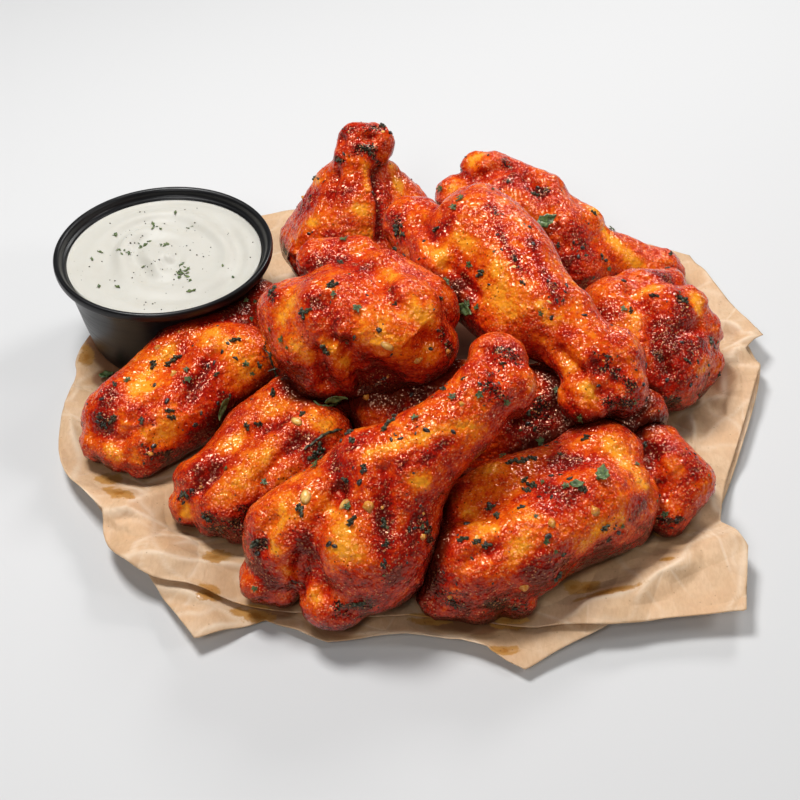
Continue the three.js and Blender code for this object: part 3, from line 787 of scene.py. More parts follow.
def surface_net(values, corner, cell):
    """The zero surface of a grid of distances, as points and quads that face outwards."""
    inside = values < 0
    corners = np.array(list(np.ndindex(2, 2, 2)))
    last = np.array(values.shape) - 1
    count = np.zeros(last, np.int8)
    for x, y, z in corners:
        count += inside[x : last[0] + x, y : last[1] + y, z : last[2] + z]
    mixed = (count > 0) & (count < 8)
    cells = np.argwhere(mixed)
    number = np.full(mixed.shape, -1, np.int64)
    number[mixed] = np.arange(len(cells))
    around = cells[:, None, :] + corners
    levels = values[around[..., 0], around[..., 1], around[..., 2]]
    total = np.zeros((len(cells), 3))
    crossings = np.zeros(len(cells))
    for a in range(8):
        for b in range(a + 1, 8):
            step = corners[b] - corners[a]
            if np.abs(step).sum() != 1:
                continue
            start, end = levels[:, a], levels[:, b]
            crosses = (start < 0) != (end < 0)
            share = np.where(crosses, start / np.where(crosses, start - end, 1), 0)
            total += crosses[:, None] * (corners[a] + share[:, None] * step)
            crossings += crosses
    points = corner + (cells + total / crossings[:, None]) * cell
    quads = []
    for axis in range(3):
        ahead, beside, above = np.roll(np.eye(3, dtype=int), -axis, axis=0)
        short = tuple(slice(0, size - step) for size, step in zip(values.shape, ahead))
        shifted = tuple(slice(step, None) for step in ahead)
        edges = np.argwhere(inside[short] != inside[shifted])
        edges = edges[(edges[:, (axis + 1) % 3] > 0) & (edges[:, (axis + 2) % 3] > 0)]
        ring = [edges, edges - beside, edges - beside - above, edges - above]
        quad = np.stack([number[tuple(r.T)] for r in ring], axis=1)
        leaving = inside[tuple(edges.T)]
        quads.append(np.where(leaving[:, None], quad, quad[:, ::-1]))
    return points, np.concatenate(quads)


def point_normals(points, faces):
    """The way that a mesh of quads faces at each of its points."""
    across = points[faces[:, 2]] - points[faces[:, 0]]
    along = points[faces[:, 3]] - points[faces[:, 1]]
    facing = np.cross(across, along)
    normals = np.zeros_like(points)
    for column in range(4):
        np.add.at(normals, faces[:, column], facing)
    return normals / np.maximum(np.linalg.norm(normals, axis=1), HAIR)[:, None]


def relaxed(points, faces, rounds):
    """Points moved part way to the mean of their neighbours, which evens out a mesh."""
    for _ in range(rounds):
        total = np.zeros_like(points)
        count = np.zeros(len(points))
        for column in range(4):
            for step in (1, 3):
                np.add.at(total, faces[:, column], points[faces[:, (column + step) % 4]])
                np.add.at(count, faces[:, column], 1)
        points = points + 0.5 * (total / count[:, None] - points)
    return points


MARCHES = 70  # steps of a ray towards the heap
FIRST_MARCH = 200.0  # the heap is further than this from the camera
MARCH_SHARE = 0.9  # share of the free distance that one step takes


def touched(pixels):
    """The places on the heap under some pixels of the photograph, and the pieces there."""
    eye, rays = camera_rays(pixels)
    travel = np.full(len(rays), FIRST_MARCH)
    for _ in range(MARCHES):
        spots = eye + rays * travel[:, None]
        distances = [distance_to_skin(to_piece(piece, spots), piece) for piece in PIECES]
        ground = spots[:, 2] - paper_top(spots[:, 0], spots[:, 1])
        travel += MARCH_SHARE * np.minimum(np.min(distances, axis=0), ground)
    return eye + rays * travel[:, None], np.argmin(distances, axis=0)


FOLD_WIDTH = 1.5  # half the width of a fold in the flesh, in mm
SPREAD = 1.35  # how far a stroke fades past its radius
SHORTEST = 1e-3  # length in mm of a stroke that has only one end on its piece


def painted(points, index, strokes):
    """How strongly a piece's strokes cover its points, from 0 to 1."""
    cover = np.zeros(len(points))
    if not strokes:
        return cover
    starts, first = touched([start for start, _, _ in strokes])
    ends, last = touched([end for _, end, _ in strokes])
    for start, end, (_, _, radius), a, b in zip(starts, ends, strokes, first, last):
        if a != index and b != index:
            continue
        start, end = (start if a == index else end), (end if b == index else start + SHORTEST)
        away, _ = distance_to_line(points, start, end + HAIR)
        cover = np.maximum(cover, np.exp(-((away / (SPREAD * radius)) ** 2)))
    return cover


def bare_skin(index, cell):
    """A piece's smooth skin as points and quads, trimmed where it touches others."""
    piece = PIECES[index]
    starts = np.array([part[0] for part in piece["flesh"]])
    ends = np.array([part[1] for part in piece["flesh"]])
    widest = np.array([max(part[2], part[3]) for part in piece["flesh"]])[:, None]
    balls = np.concatenate([to_heap(piece, starts), to_heap(piece, ends)])
    reach = np.concatenate([widest, widest]) + 2 + 2 * cell
    corner, far_corner = (balls - reach).min(axis=0), (balls + reach).max(axis=0)
    counts = tuple(np.ceil((far_corner - corner) / cell).astype(int))
    points, quads = surface_net(distance_grid(index, corner, counts, cell), corner, cell)
    points, quads = largest_part(points, quads)
    return relaxed(points, quads, 2), quads


def flesh_bend(local, piece):
    """How sharply the flesh bends at points of its own frame: above 0 on ridges."""
    bend_step = 1.6
    bend = -6 * distance_to_skin(local, piece)
    for step in np.concatenate([np.eye(3), -np.eye(3)]) * bend_step:
        bend += distance_to_skin(local + step, piece)
    return bend / bend_step**2


def skin_paint(index, points, normals, local):
    """How golden, sauced and charred a skin is: the named strokes where the photograph shows
    it, and guessed patches of about patch_width and spot_width mm on its unseen sides."""
    patch_width, spot_width = 13, 7
    piece = PIECES[index]
    seed = 10 * piece["seed"]
    paint = {name: painted(points, index, piece[name]) for name in ("golden", "sauce", "char")}
    tilt = math.radians(CAMERA["pitch"])
    unseen = smooth_step(-0.15, 0.25, normals @ [0, math.sin(tilt), -math.cos(tilt)])
    patches = layered_noise(local, patch_width, seed + 6, 2)
    spots = layered_noise(local, spot_width, seed + 8, 2)
    guessed = {
        "golden": smooth_step(0.05, 0.4, patches),
        "sauce": smooth_step(0.15, 0.5, -patches),
        "char": 0.8 * smooth_step(0.4, 0.65, spots),
    }
    return {name: np.maximum(paint[name], unseen * guessed[name]) for name in paint}


def skin_height(index, settings, points, local, burnt_ends):
    """How far the skin's lumps, wrinkles and folds stand out, and how deep it is in a fold."""
    lump_width, fine_width, wrinkle_width = 6, 1.8, 4
    piece = PIECES[index]
    seed = 10 * piece["seed"]
    stretched = local * [0.35, 1, 1]
    lumps = layered_noise(local, lump_width, seed, 3)
    lumps = lumps + 0.45 * layered_noise(local, fine_width, seed + 4, 2)
    wrinkles = 1 - 2 * np.abs(layered_noise(stretched, wrinkle_width, seed + 2, 2))
    valley = painted(points, index, [(*line, FOLD_WIDTH) for line in piece["folds"]])
    height = settings.lumps * lumps + settings.wrinkles * wrinkles * (0.25 + 0.75 * burnt_ends)
    return height - settings.folds * valley, valley


def skin_mesh(index, settings):
    """A piece's skin as points, quads and what its colours follow."""
    piece = PIECES[index]
    points, quads = bare_skin(index, settings.cell)
    normals = point_normals(points, quads)
    local = to_piece(piece, points)
    bend = flesh_bend(local, piece)
    rest = distance_to_rest(points, index)
    for later in PIECES[index + 1 :]:
        rest = np.minimum(rest, distance_to_skin(to_piece(later, points), later))
    paint = skin_paint(index, points, normals, local)
    burnt_ends = np.maximum(paint["char"], smooth_step(0.1, 0.4, bend))
    height, valley = skin_height(index, settings, points, local, burnt_ends)
    room = smooth_step(0.3, 2.2, rest)
    points = points + normals * (room * height)[:, None]
    normals = point_normals(points, quads)
    values = {
        **paint,
        "bend": np.clip(0.5 + bend - 0.35 * valley, 0, 1),
        # near and under drive painted shade: darker near other pieces and the paper, and where the skin
        # faces down.
        "near": 1 - smooth_step(0, 6.5, rest),
        "under": 1 - smooth_step(-0.6, 0.7, normals[:, 2]),
    }
    return {"points": points, "faces": quads, "normals": normals, "values": values}


def largest_part(points, faces):
    """The largest connected part of a mesh, so that trimming leaves no scraps."""
    label = np.arange(len(points))
    while True:
        lowest = label[faces].min(axis=1)
        fresh = label.copy()
        for column in range(4):
            np.minimum.at(fresh, faces[:, column], lowest)
        fresh = fresh[fresh]
        if np.array_equal(fresh, label):
            break
        label = fresh
    names, sizes = np.unique(label, return_counts=True)
    kept = label == names[np.argmax(sizes)]
    number = np.cumsum(kept) - 1
    return points[kept], number[faces[kept[faces[:, 0]]]]


# Meshes.


def new_mesh(name, points, faces, values=None):
    """A mesh from points in mm and faces with the same number of corners each."""
    faces = np.asarray(faces)
    corners = faces.shape[1]
    mesh = bpy.data.meshes.new(name)
    mesh.vertices.add(len(points))
    mesh.vertices.foreach_set("co", (np.asarray(points) * MM).astype(np.float32).ravel())
    mesh.loops.add(faces.size)
    mesh.loops.foreach_set("vertex_index", faces.astype(np.int32).ravel())
    mesh.polygons.add(len(faces))
    mesh.polygons.foreach_set("loop_start", np.arange(0, faces.size, corners, dtype=np.int32))
    mesh.polygons.foreach_set("use_smooth", np.ones(len(faces), bool))
    for key, numbers in (values or {}).items():
        attribute = mesh.attributes.new(key, "FLOAT", "POINT")
        attribute.data.foreach_set("value", np.asarray(numbers, np.float32))
    mesh.update(calc_edges=True)
    mesh.validate()
    return mesh


def new_object(name, mesh, material):
    """An object in the scene with one material."""
    piece = bpy.data.objects.new(name, mesh)
    mesh.materials.append(material)
    bpy.context.scene.collection.objects.link(piece)
    return piece


def settle(piece, nodes=()):
    """Ties a finished piece to the frame."""
    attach(piece, "root")
    if nodes:
        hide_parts(*nodes)


def apply_modifiers(piece):
    """Turns what a piece's modifiers make into its plain mesh."""
    graph = bpy.context.evaluated_depsgraph_get()
    mesh = bpy.data.meshes.new_from_object(piece.evaluated_get(graph))
    piece.modifiers.clear()
    piece.data = mesh


def rings_mesh(rings):
    """Quads between rings of points, each with the same even number of them, and a fan of
    quads to a middle point at either end. The two middle points are the last ones."""
    sectors = len(rings[0])
    last_ring = (len(rings) - 1) * sectors
    middles = [rings[0].mean(axis=0), rings[-1].mean(axis=0)]
    points = np.concatenate([*rings, middles])
    here = np.arange(sectors)
    beside = (here + 1) % sectors
    band = np.stack([here, beside, sectors + beside, sectors + here], axis=1)
    faces = [start + band for start in range(0, last_ring, sectors)]
    even = np.arange(0, sectors, 2)
    fan = np.stack([even, even + 1, (even + 2) % sectors], axis=1)
    first_middle = np.full((len(fan), 1), len(points) - 2)
    faces.append(np.concatenate([first_middle, fan[:, ::-1]], axis=1))
    faces.append(np.concatenate([fan + last_ring, first_middle + 1], axis=1))
    return points, np.concatenate(faces)


def rounded(outline, rounds, sharp):
    """A closed outline with all its corners cut but the ones marked as sharp."""
    points = np.array(outline, float)
    for _ in range(rounds):
        made, marks = [], []
        for i, point in enumerate(points):
            previous, following = points[i - 1], points[(i + 1) % len(points)]
            if sharp[i]:
                made.append(point)
                marks.append(True)
            else:
                made += [0.75 * point + 0.25 * previous, 0.75 * point + 0.25 * following]
                marks += [False, False]
        points, sharp = np.array(made), np.array(marks)
    return points


def circle(radius, height, angles):
    """A level ring of points. Radius and height are each one number or one for each angle."""
    heights = np.broadcast_to(height, angles.shape)
    return np.stack([radius * np.cos(angles), radius * np.sin(angles), heights], axis=1)


def noise_shift(points, width, step, seed):
    """A way to shift each point, from noise with features about width wide, which each axis
    reads step units further on."""
    return np.stack([value_noise(points / width + step * axis, seed) for axis in range(3)], axis=1)


def joined(parts):
    """Several lots of points and faces as one."""
    starts = np.cumsum([0] + [len(points) for points, _ in parts])
    shifted = [faces + start for start, (_, faces) in zip(starts, parts)]
    return np.concatenate([points for points, _ in parts]), np.concatenate(shifted)


# Shader nodes.


class Wire:
    """An output of a shader node. Sums on it add Math nodes."""

    def __init__(self, shader, socket):
        self.shader = shader
        self.socket = socket

    def _math(self, operation, first, second):
        return self.shader.add(
            "ShaderNodeMath", {"operation": operation}, {0: first, 1: second}
        )

    def __add__(self, other):
        return self._math("ADD", self, other)

    def __radd__(self, other):
        return self._math("ADD", other, self)

    def __sub__(self, other):
        return self._math("SUBTRACT", self, other)

    def __rsub__(self, other):
        return self._math("SUBTRACT", other, self)

    def __mul__(self, other):
        return self._math("MULTIPLY", self, other)

    def highest(self, other):
        """The larger of this and another value."""
        return self._math("MAXIMUM", self, other)


class Shader:
    """A material's nodes, with its Principled shader ready."""

    def __init__(self, name):
        self.material = bpy.data.materials.new(name)
        self.material.use_nodes = True
        self.tree = self.material.node_tree
        self.principled = self.tree.nodes["Principled BSDF"]

    def fill(self, socket, value):
        """Links a wire to a socket, or sets a number, a vector or a colour on it."""
        if isinstance(value, Wire):
            self.tree.links.new(value.socket, socket)
        elif hasattr(socket.default_value, "__len__") and len(socket.default_value) == 4:
            socket.default_value = (*tuple(value)[:3], 1)
        else:
            socket.default_value = value

    def add(self, kind, settings=None, values=None, output=0):
        """Adds a node, sets its settings, fills its inputs and returns one of its outputs."""
        node = self.tree.nodes.new(kind)
        for key, value in (settings or {}).items():
            setattr(node, key, value)
        for key, value in (values or {}).items():
            self.fill(node.inputs[key], value)
        return Wire(self, node.outputs[output])

    def finish(self, **values):
        """Fills the Principled shader's inputs, whose names have spaces for underscores."""
        for key, value in values.items():
            self.fill(self.principled.inputs[key.replace("_", " ")], value)
        return self.material

    def places(self, scale=(1, 1, 1)):
        """The piece's own coordinates in mm, stretched by scale."""
        spots = self.add("ShaderNodeTexCoord", output="Object")
        factor = tuple(share / MM for share in scale)
        return self.add(
            "ShaderNodeVectorMath", {"operation": "MULTIPLY"}, {0: spots, 1: factor}
        )

    def value(self, name):
        """A number that the mesh holds for each of its points."""
        return self.add("ShaderNodeAttribute", {"attribute_name": name}, output="Fac")

    def noise(self, places, width, detail=3, roughness=0.55):
        """Noise from about 0.2 to 0.8 whose features are about width mm."""
        return self.add("ShaderNodeTexNoise", {}, {
            "Vector": places, "Scale": 1 / width, "Detail": detail, "Roughness": roughness,
        })

    def cells(self, places, width, feature="F1"):
        """Distance to the middle of scattered cells width mm across, or to their edges."""
        return self.add("ShaderNodeTexVoronoi", {"feature": feature}, {
            "Vector": places, "Scale": 1 / width,
        }, "Distance")

    def step(self, value, low, high):
        """0 below low, 1 above high and smooth between."""
        return self.add("ShaderNodeMapRange", {"interpolation_type": "SMOOTHSTEP"}, {
            "Value": value, "From Min": low, "From Max": high,
        })

    def ramp(self, value, stops):
        """A colour that runs smoothly through stops of place and colour."""
        node = self.tree.nodes.new("ShaderNodeValToRGB")
        elements = node.color_ramp.elements
        while len(elements) < len(stops):
            elements.new(0.5)
        for element, (place, colour) in zip(elements, stops):
            element.position = place
            element.color = (*colour, 1)
        self.fill(node.inputs["Fac"], value)
        return Wire(self, node.outputs["Color"])

    def mix(self, share, first, second):
        """A colour that is first where share is 0 and second where it is 1."""
        return self.add(
            "ShaderNodeMix", {"data_type": "RGBA"}, {0: share, 6: first, 7: second}, output=2
        )

    def layers(self, colour, coats):
        """A colour with coats laid over it in turn, each a share and a colour."""
        for share, coat in coats:
            colour = self.mix(share, colour, coat)
        return colour

    def bump(self, height, depth, strength=1, under=None):
        """A normal bent by a height from 0 to 1, which is depth mm high, over another bump."""
        values = {"Height": height, "Distance": depth * MM, "Strength": strength}
        if under is not None:
            values["Normal"] = under
        return self.add("ShaderNodeBump", {}, values)


SKIN_GLOSS = 1.64  # index of refraction of the sugary glaze
GLINT = (1.0, 0.56, 0.36)  # the warm tint of its highlights
CREVICE_SHADE = (0.045, 0.004, 0.002)  # painted shade: near-black skin where little light reaches
PAINTED_GLINT_SPECKS = (1.0, 0.44, 0.17)  # pale grains of the glaze, painted bright as glints where they face up to the light
SKIN_GRAIN = 0.8  # width of those grains


def skin_tone(shader, places, grain, streaks):
    """How light the skin is, from 0 for char to 1 for bare pale skin, with painted shade where it
    faces down and near other pieces, how burnt it is, and the two larger noises in it."""
    patches = shader.noise(places, 6, 4, 0.6)
    blotches = shader.noise(places, 2.2, 4, 0.65)
    middle_tone, darkest = 0.58, 0.14
    uneven = (patches - 0.5) + (blotches - 0.5) * 0.75 + (grain - 0.5) * 0.55
    strokes = shader.value("golden") * 0.4 - shader.value("sauce") * 0.36
    # Painted shade: darker where the skin faces down and near other pieces; also darker in its creases
    # and where charred.
    painted_shade_and_char = shader.step(shader.value("bend"), 0.5, 0.2) * 0.14 + shader.value("near") * 0.22
    painted_shade_and_char = painted_shade_and_char + shader.value("under") * 0.46 + shader.value("char") * 0.2
    tone = (middle_tone + strokes + uneven - painted_shade_and_char).highest(darkest)
    broken = shader.value("char") * 0.75 + (streaks - 0.5) * 1.8 + (grain - 0.5) * 2.2
    burnt = shader.step(broken, 0.6, 0.9)
    return tone - burnt * 0.6, burnt, patches, blotches


def skin_material(settings):
    """Glazed, roasted skin. One tone runs from char through red sauce and orange glaze to bare golden
    skin; strokes, creases, painted shade and noise at three sizes move it up and down. Painted
    shade darkens the crevices, and pale specks painted on the upper sides stand for glints."""
    shader = Shader("glazed_skin")
    places = shader.places()
    grain = shader.noise(places, 0.6, 2, 0.7)
    streaks = shader.noise(shader.places((0.5, 1, 1)), 2.4, 4, 0.65)
    grains = shader.cells(places, SKIN_GRAIN)
    tone, burnt, patches, blotches = skin_tone(shader, places, grain, streaks)
    colour = shader.ramp(tone, [
        (0.0, settings.char), (0.16, settings.thick_sauce), (0.36, settings.sauce),
        (0.56, settings.glaze), (0.78, settings.golden), (1.0, settings.pale),
    ])
    # Painted shade: near-black skin in the crevices between pieces and against the paper.
    crevice_shade = shader.step(shader.value("near"), 0.25, 0.9) * 0.9
    # Painted highlights: pale specks on the grains, only where the skin faces up and away from other
    # pieces.
    painted_glints = shader.step(grains, 0.36, 0.2) * shader.step(streaks, 0.4, 0.58)
    painted_glints = painted_glints * shader.step(shader.value("under"), 0.9, 0.3) * 0.42
    painted_glints = painted_glints * (1 - shader.value("near"))
    dust = shader.step(shader.cells(places, 1.4), 0.18, 0.1)
    dust = dust * shader.step(shader.noise(places, 3.5, 2), 0.4, 0.55) * 0.85
    colour = shader.layers(colour, [(crevice_shade, CREVICE_SHADE), (painted_glints, PAINTED_GLINT_SPECKS), (dust, settings.char)])
    rough_patches = shader.step(patches, 0.6, 0.42) * 0.5 + 0.5
    normal = shader.bump((1 - grains * grains) * rough_patches, 0.25)
    normal = shader.bump(shader.noise(places, 1.3, 0), 0.42, under=normal)
    roughness = 0.13 + burnt * 0.1 + shader.step(blotches, 0.42, 0.7) * 0.06
    return shader.finish(
        Base_Color=colour, Roughness=roughness, Normal=normal,
        IOR=SKIN_GLOSS, Specular_Tint=GLINT,
    )


# Near the food the paper takes a grease tint with painted shade and a painted contact shadow; under the
# heap it is painted dark as shade.
PAPER_TINTS = {
    "pale": (0.70, 0.47, 0.28),
    "fibre": (0.55, 0.33, 0.18),
    "crease": (0.84, 0.66, 0.48),
    "speck": (0.30, 0.16, 0.07),
    "grease": (0.42, 0.20, 0.07),
    "contact_shadow": (0.16, 0.04, 0.01),
    "thin stain": (0.52, 0.25, 0.06),
    "drop": (0.16, 0.05, 0.01),
    "soaked": (0.08, 0.022, 0.007),
}
FOLD_SIZES = (19, 8)  # width in mm of the crumpled paper's large and small facets


def paper_material(settings):
    """Brown greaseproof paper with fibres, pale lines along its creases and amber stains of sauce,
    a grease tint and painted contact shadow near the food, and painted shade dark under the heap."""
    shader = Shader("brown_paper")
    places = shader.places()
    fibres = shader.noise(shader.places((1, 0.4, 1)), 0.8, 4, 0.65)
    clouds = shader.noise(places, 14, 3)
    large, small = FOLD_SIZES
    folds = shader.cells(shader.places((1, 0.7, 0.5)), large, "DISTANCE_TO_EDGE")
    small_folds = shader.cells(shader.places((0.6, 1, 0.5)), small, "DISTANCE_TO_EDGE")
    fold_lines = shader.step(folds, 0.03, 0.0) * shader.step(clouds, 0.42, 0.62) * 0.6
    crease = shader.value("crease").highest(fold_lines)
    grease, soaked = shader.value("grease"), shader.value("soaked")
    spread = shader.value("stain") + (shader.noise(places, 2.6, 5, 0.68) - 0.5) * 1.1
    stained = shader.step(spread, 0.24, 0.46)
    drops = shader.step(shader.cells(places, 1.1), 0.2, 0.1) * stained
    colour = shader.layers(settings.colour, [
        (shader.step(clouds, 0.35, 0.65), PAPER_TINTS["pale"]),
        (shader.step(fibres, 0.4, 0.62) * 0.35, PAPER_TINTS["fibre"]),
        (crease * 0.75, PAPER_TINTS["crease"]),
        (shader.step(shader.cells(places, 2.2), 0.12, 0.05) * 0.5, PAPER_TINTS["speck"]),
        (grease * 0.55, PAPER_TINTS["grease"]),
        # Painted contact shadow where the food meets the paper.
        (shader.step(grease, 0.6, 1) * 0.7, PAPER_TINTS["contact_shadow"]),
        (stained * 0.9, PAPER_TINTS["thin stain"]),
        (shader.step(spread, 0.6, 0.95) * 0.8, settings.stain),
        (drops * 0.6, PAPER_TINTS["drop"]),
        # Painted shade: dark paper under the heap.
        (soaked, PAPER_TINTS["soaked"]),
    ])
    wet = stained.highest(grease * 0.5)
    normal = shader.bump(fibres, 0.06, 0.8)
    normal = shader.bump(folds, 3.4, under=normal)
    normal = shader.bump(small_folds, 0.9, under=normal)
    return shader.finish(
        Base_Color=colour, Roughness=0.6 - wet * 0.3 + soaked * 0.4, Normal=normal,
        Subsurface_Weight=0.05, Subsurface_Radius=(1, 0.7, 0.4), Subsurface_Scale=1 * MM,
    )


POT_SCUFF = (0.02, 0.018, 0.018)


def pot_material(settings):
    """Black moulded plastic with a faint grain and fine scuffs."""
    shader = Shader("black_plastic")
    grain = shader.noise(shader.places(), 0.5, 2)
    scuffs = shader.noise(shader.places((0.3, 0.3, 4)), 3, 4, 0.6)
    colour = shader.mix(shader.step(scuffs, 0.5, 0.8) * 0.3, settings.plastic, POT_SCUFF)
    roughness = 0.3 + shader.step(scuffs, 0.4, 0.7) * 0.12
    normal = shader.bump(grain, 0.03, 0.5)
    return shader.finish(Base_Color=colour, Roughness=roughness, Normal=normal, IOR=1.38)


DIP_CLOUD = (0.53, 0.50, 0.43)
DIP_SPECK = (0.22, 0.21, 0.14)


def dip_material(settings):
    """Thick white dip, slightly see-through at the surface, with dull specks."""
    shader = Shader("white_dip")
    places = shader.places()
    clouds = shader.step(shader.noise(places, 8, 3), 0.4, 0.7) * 0.35
    specks = shader.step(shader.cells(places, 2.1), 0.1, 0.05)
    specks = specks * shader.step(shader.noise(places, 6, 2), 0.45, 0.6) * 0.55
    colour = shader.layers(settings.dip, [(clouds, DIP_CLOUD), (specks, DIP_SPECK)])
    normal = shader.bump(shader.noise(places, 3, 3), 0.12, 0.5)
    return shader.finish(
        Base_Color=colour, Roughness=0.48, Normal=normal,
        Subsurface_Weight=0.35, Subsurface_Radius=(1, 0.9, 0.75), Subsurface_Scale=2 * MM,
    )


def leaf_material(name, colour, pale):
    """A leaf: pale veins and blotches on green."""
    shader = Shader(name)
    places = shader.places()
    blotches = shader.noise(places, 1.1, 3, 0.6)
    veins = shader.cells(places, 0.8)
    mixed = shader.mix(shader.step(blotches, 0.4, 0.66), colour, pale)
    mixed = shader.mix(shader.step(veins, 0.5, 0.75) * 0.4, mixed, pale)
    normal = shader.bump(veins, 0.12, 0.6)
    return shader.finish(
        Base_Color=mixed, Roughness=0.45, Normal=normal, Coat_Weight=0.1,
        Subsurface_Weight=0.1, Subsurface_Radius=(0.5, 1, 0.2), Subsurface_Scale=0.5 * MM,
    )


def speck_material(name, colour, pale, roughness):
    """A small crumb with a mottled skin."""
    shader = Shader(name)
    blotches = shader.noise(shader.places(), 0.7, 3, 0.6)
    mixed = shader.mix(shader.step(blotches, 0.38, 0.64), colour, pale)
    normal = shader.bump(blotches, 0.15, 0.7)
    return shader.finish(Base_Color=mixed, Roughness=roughness, Normal=normal, Coat_Weight=0.3)


SEED_TINTS = {"pale": (0.95, 0.62, 0.20), "warm": (0.85, 0.45, 0.09), "rim": (0.42, 0.13, 0.012)}


def seed_material():
    """A pale oval seed with an amber rim."""
    shader = Shader("seed_skin")
    blotches = shader.noise(shader.places(), 0.9, 2)
    body = shader.mix(shader.step(blotches, 0.4, 0.6), SEED_TINTS["pale"], SEED_TINTS["warm"])
    colour = shader.mix(shader.value("rim") * 0.8, body, SEED_TINTS["rim"])
    return shader.finish(Base_Color=colour, Roughness=0.28)


# What the later pieces lie on: each finished skin, kept for placing toppings.
skins = []


class WINGS_OT_skins(bpy.types.Operator):
    """Build the skin of every wing piece"""

    bl_idname = "wings.skins"
    bl_label = "Wing pieces"

    def execute(self, context):
        settings = context.scene.wings_skin
        material = skin_material(settings)
        skins.clear()
        for index, piece in enumerate(PIECES):
            skin = skin_mesh(index, settings)
            skins.append(skin)
            mesh = new_mesh(piece["name"], skin["points"], skin["faces"], skin["values"])
            made = new_object(f"skin_{piece['name']}", mesh, material)
            settle(made, [piece["name"]])
        return {"FINISHED"}


# Corner points round each sheet, anticlockwise from the right.
UPPER_OUTLINE = [
    (101.5, 22), (94.5, 43.5), (88, 65), (73, 70), (45, 84), (5, 90), (-42, 87), (-62, 82),
    (-84, 58), (-97.5, 28.5), (-98.5, 16), (-96, 9.5), (-97, -12), (-93.5, -29), (-82.5, -42),
    (-78.5, -46), (-77.5, -54), (-72.5, -61.5), (-64.5, -67), (-54, -69), (-42, -72.5),
    (-19.5, -76.5), (9, -76), (24, -79.5), (44.5, -81), (58, -78), (77, -76.5), (81, -57.5),
    (76, -49), (79.5, -36), (87, -18.5), (98, 9), (94.5, 14.5),
]
LOWER_OUTLINE = [
    (96, 0), (99, 11.5), (90, 30), (78, 52), (40, 72), (-10, 80), (-50, 74), (-82, 46),
    (-94, 10), (-90, -30), (-70, -58), (-51.5, -83), (-36, -75.5), (-21, -82.5), (-5, -81),
    (12, -82.5), (24.5, -90.5), (33, -85), (44, -80), (66, -64), (78, -42), (86, -24),
]
HEAP_MIDDLE = (50, 44)  # half axes of the part of the paper painted dark as shade under the heap
SHARP_CORNER = 30  # a corner that turns by more degrees than this stays sharp
SHEET_CELL = 1.1  # spacing in mm of the points round a sheet
# Sizes of a sheet's rings of points as shares of its outline, closer where it waves.
SHEET_RINGS = np.concatenate([[0.02], np.linspace(0.2, 0.6, 9), np.linspace(0.612, 1, 70)])

# Sauce on the paper: a pixel of the photograph, the radii in mm and the turn in degrees.
STAINS = [
    ((110, 481), 3.4, 2.4, 0), ((121, 503), 4.6, 2.2, -35), ((217, 560), 3.6, 2.8, 60),
    ((210, 598), 2.6, 1.8, 20), ((255, 612), 5, 2, -10), ((430, 619), 5, 1.2, 0),
    ((506, 650), 3.6, 1.2, 10), ((510, 621), 4, 1.4, 0), ((606, 602), 7.5, 1.1, 10),
    ((586, 590), 3.6, 2, 20), ((665, 570), 1.5, 1, 0), ((664, 533), 3, 0.9, -5),
    ((86, 352), 2, 5, 10), ((574, 588), 2.4, 2.4, 0),
]


def stain_cover(points):
    """How strongly the named stains cover some points of the paper, from 0 to 1."""
    centres = on_level([pixel for pixel, *_ in STAINS], PAPER_LEVEL)
    cover = np.zeros(len(points))
    for centre, (_, wide, deep, turn) in zip(centres, STAINS):
        angle = math.radians(turn)
        offset = points[:, :2] - centre
        along = offset @ [math.cos(angle), math.sin(angle)]
        across = offset @ [-math.sin(angle), math.cos(angle)]
        cover = np.maximum(cover, 1 - 0.6 * np.hypot(along / wide, across / deep))
    return cover


def sharp_corners(outline):
    """Which corners of a closed outline turn by more than SHARP_CORNER."""
    points = np.array(outline)
    before, after = points - np.roll(points, 1, 0), np.roll(points, -1, 0) - points
    cross = before[:, 0] * after[:, 1] - before[:, 1] * after[:, 0]
    angle = np.degrees(np.arctan2(cross, (before * after).sum(axis=1)))
    return np.abs(angle) > SHARP_CORNER


def sheet_points(outline):
    """Rings of a sheet's outline shrunk towards the middle, each evenly stepped."""
    corners = rounded(outline, 2, sharp_corners(outline))
    ahead = np.roll(corners, -1, 0)
    lengths = np.linalg.norm(ahead - corners, axis=1)
    starts = np.concatenate([[0], np.cumsum(lengths)])
    count = 2 * round(starts[-1] / (2 * SHEET_CELL))
    steps = np.arange(count) * starts[-1] / count
    at = np.searchsorted(starts, steps, "right") - 1
    share = (steps - starts[at]) / lengths[at]
    edge = corners[at] + share[:, None] * (ahead[at] - corners[at])
    return np.concatenate([edge * shrink for shrink in SHEET_RINGS])


def sheet_mesh(outline, base, lift, settings):
    """One sheet of paper as points and quads, with what its colours follow."""
    rings = len(SHEET_RINGS)
    x, y = sheet_points(outline).T
    raised, fold = crease_height(x, y, settings.creases)
    height = base + paper_height(x, y) + lift * wave_share(x, y) + raised
    over = np.stack([x, y, height + SHEET["thickness"]], axis=1)
    under = over - [0, 0, settings.thickness]
    points, faces = rings_mesh([*np.split(under, rings), *np.split(over, rings)[::-1]])
    rest = distance_over_paper(*points[:, :2].T)
    heap_x, heap_y = HEAP_MIDDLE
    from_middle = np.hypot(points[:, 0] / heap_x, points[:, 1] / heap_y)
    fold = np.split(fold, rings)
    return points, faces, {
        "crease": np.concatenate([*fold, *fold[::-1], [0, 0]]),
        "stain": stain_cover(points),
        # Painted shade: a grease tint and contact shadow near the food, and dark paper under the heap.
        "grease": 1 - smooth_step(0, 4.5, rest),
        "soaked": 1 - smooth_step(0.75, 1.1, from_middle),
    }


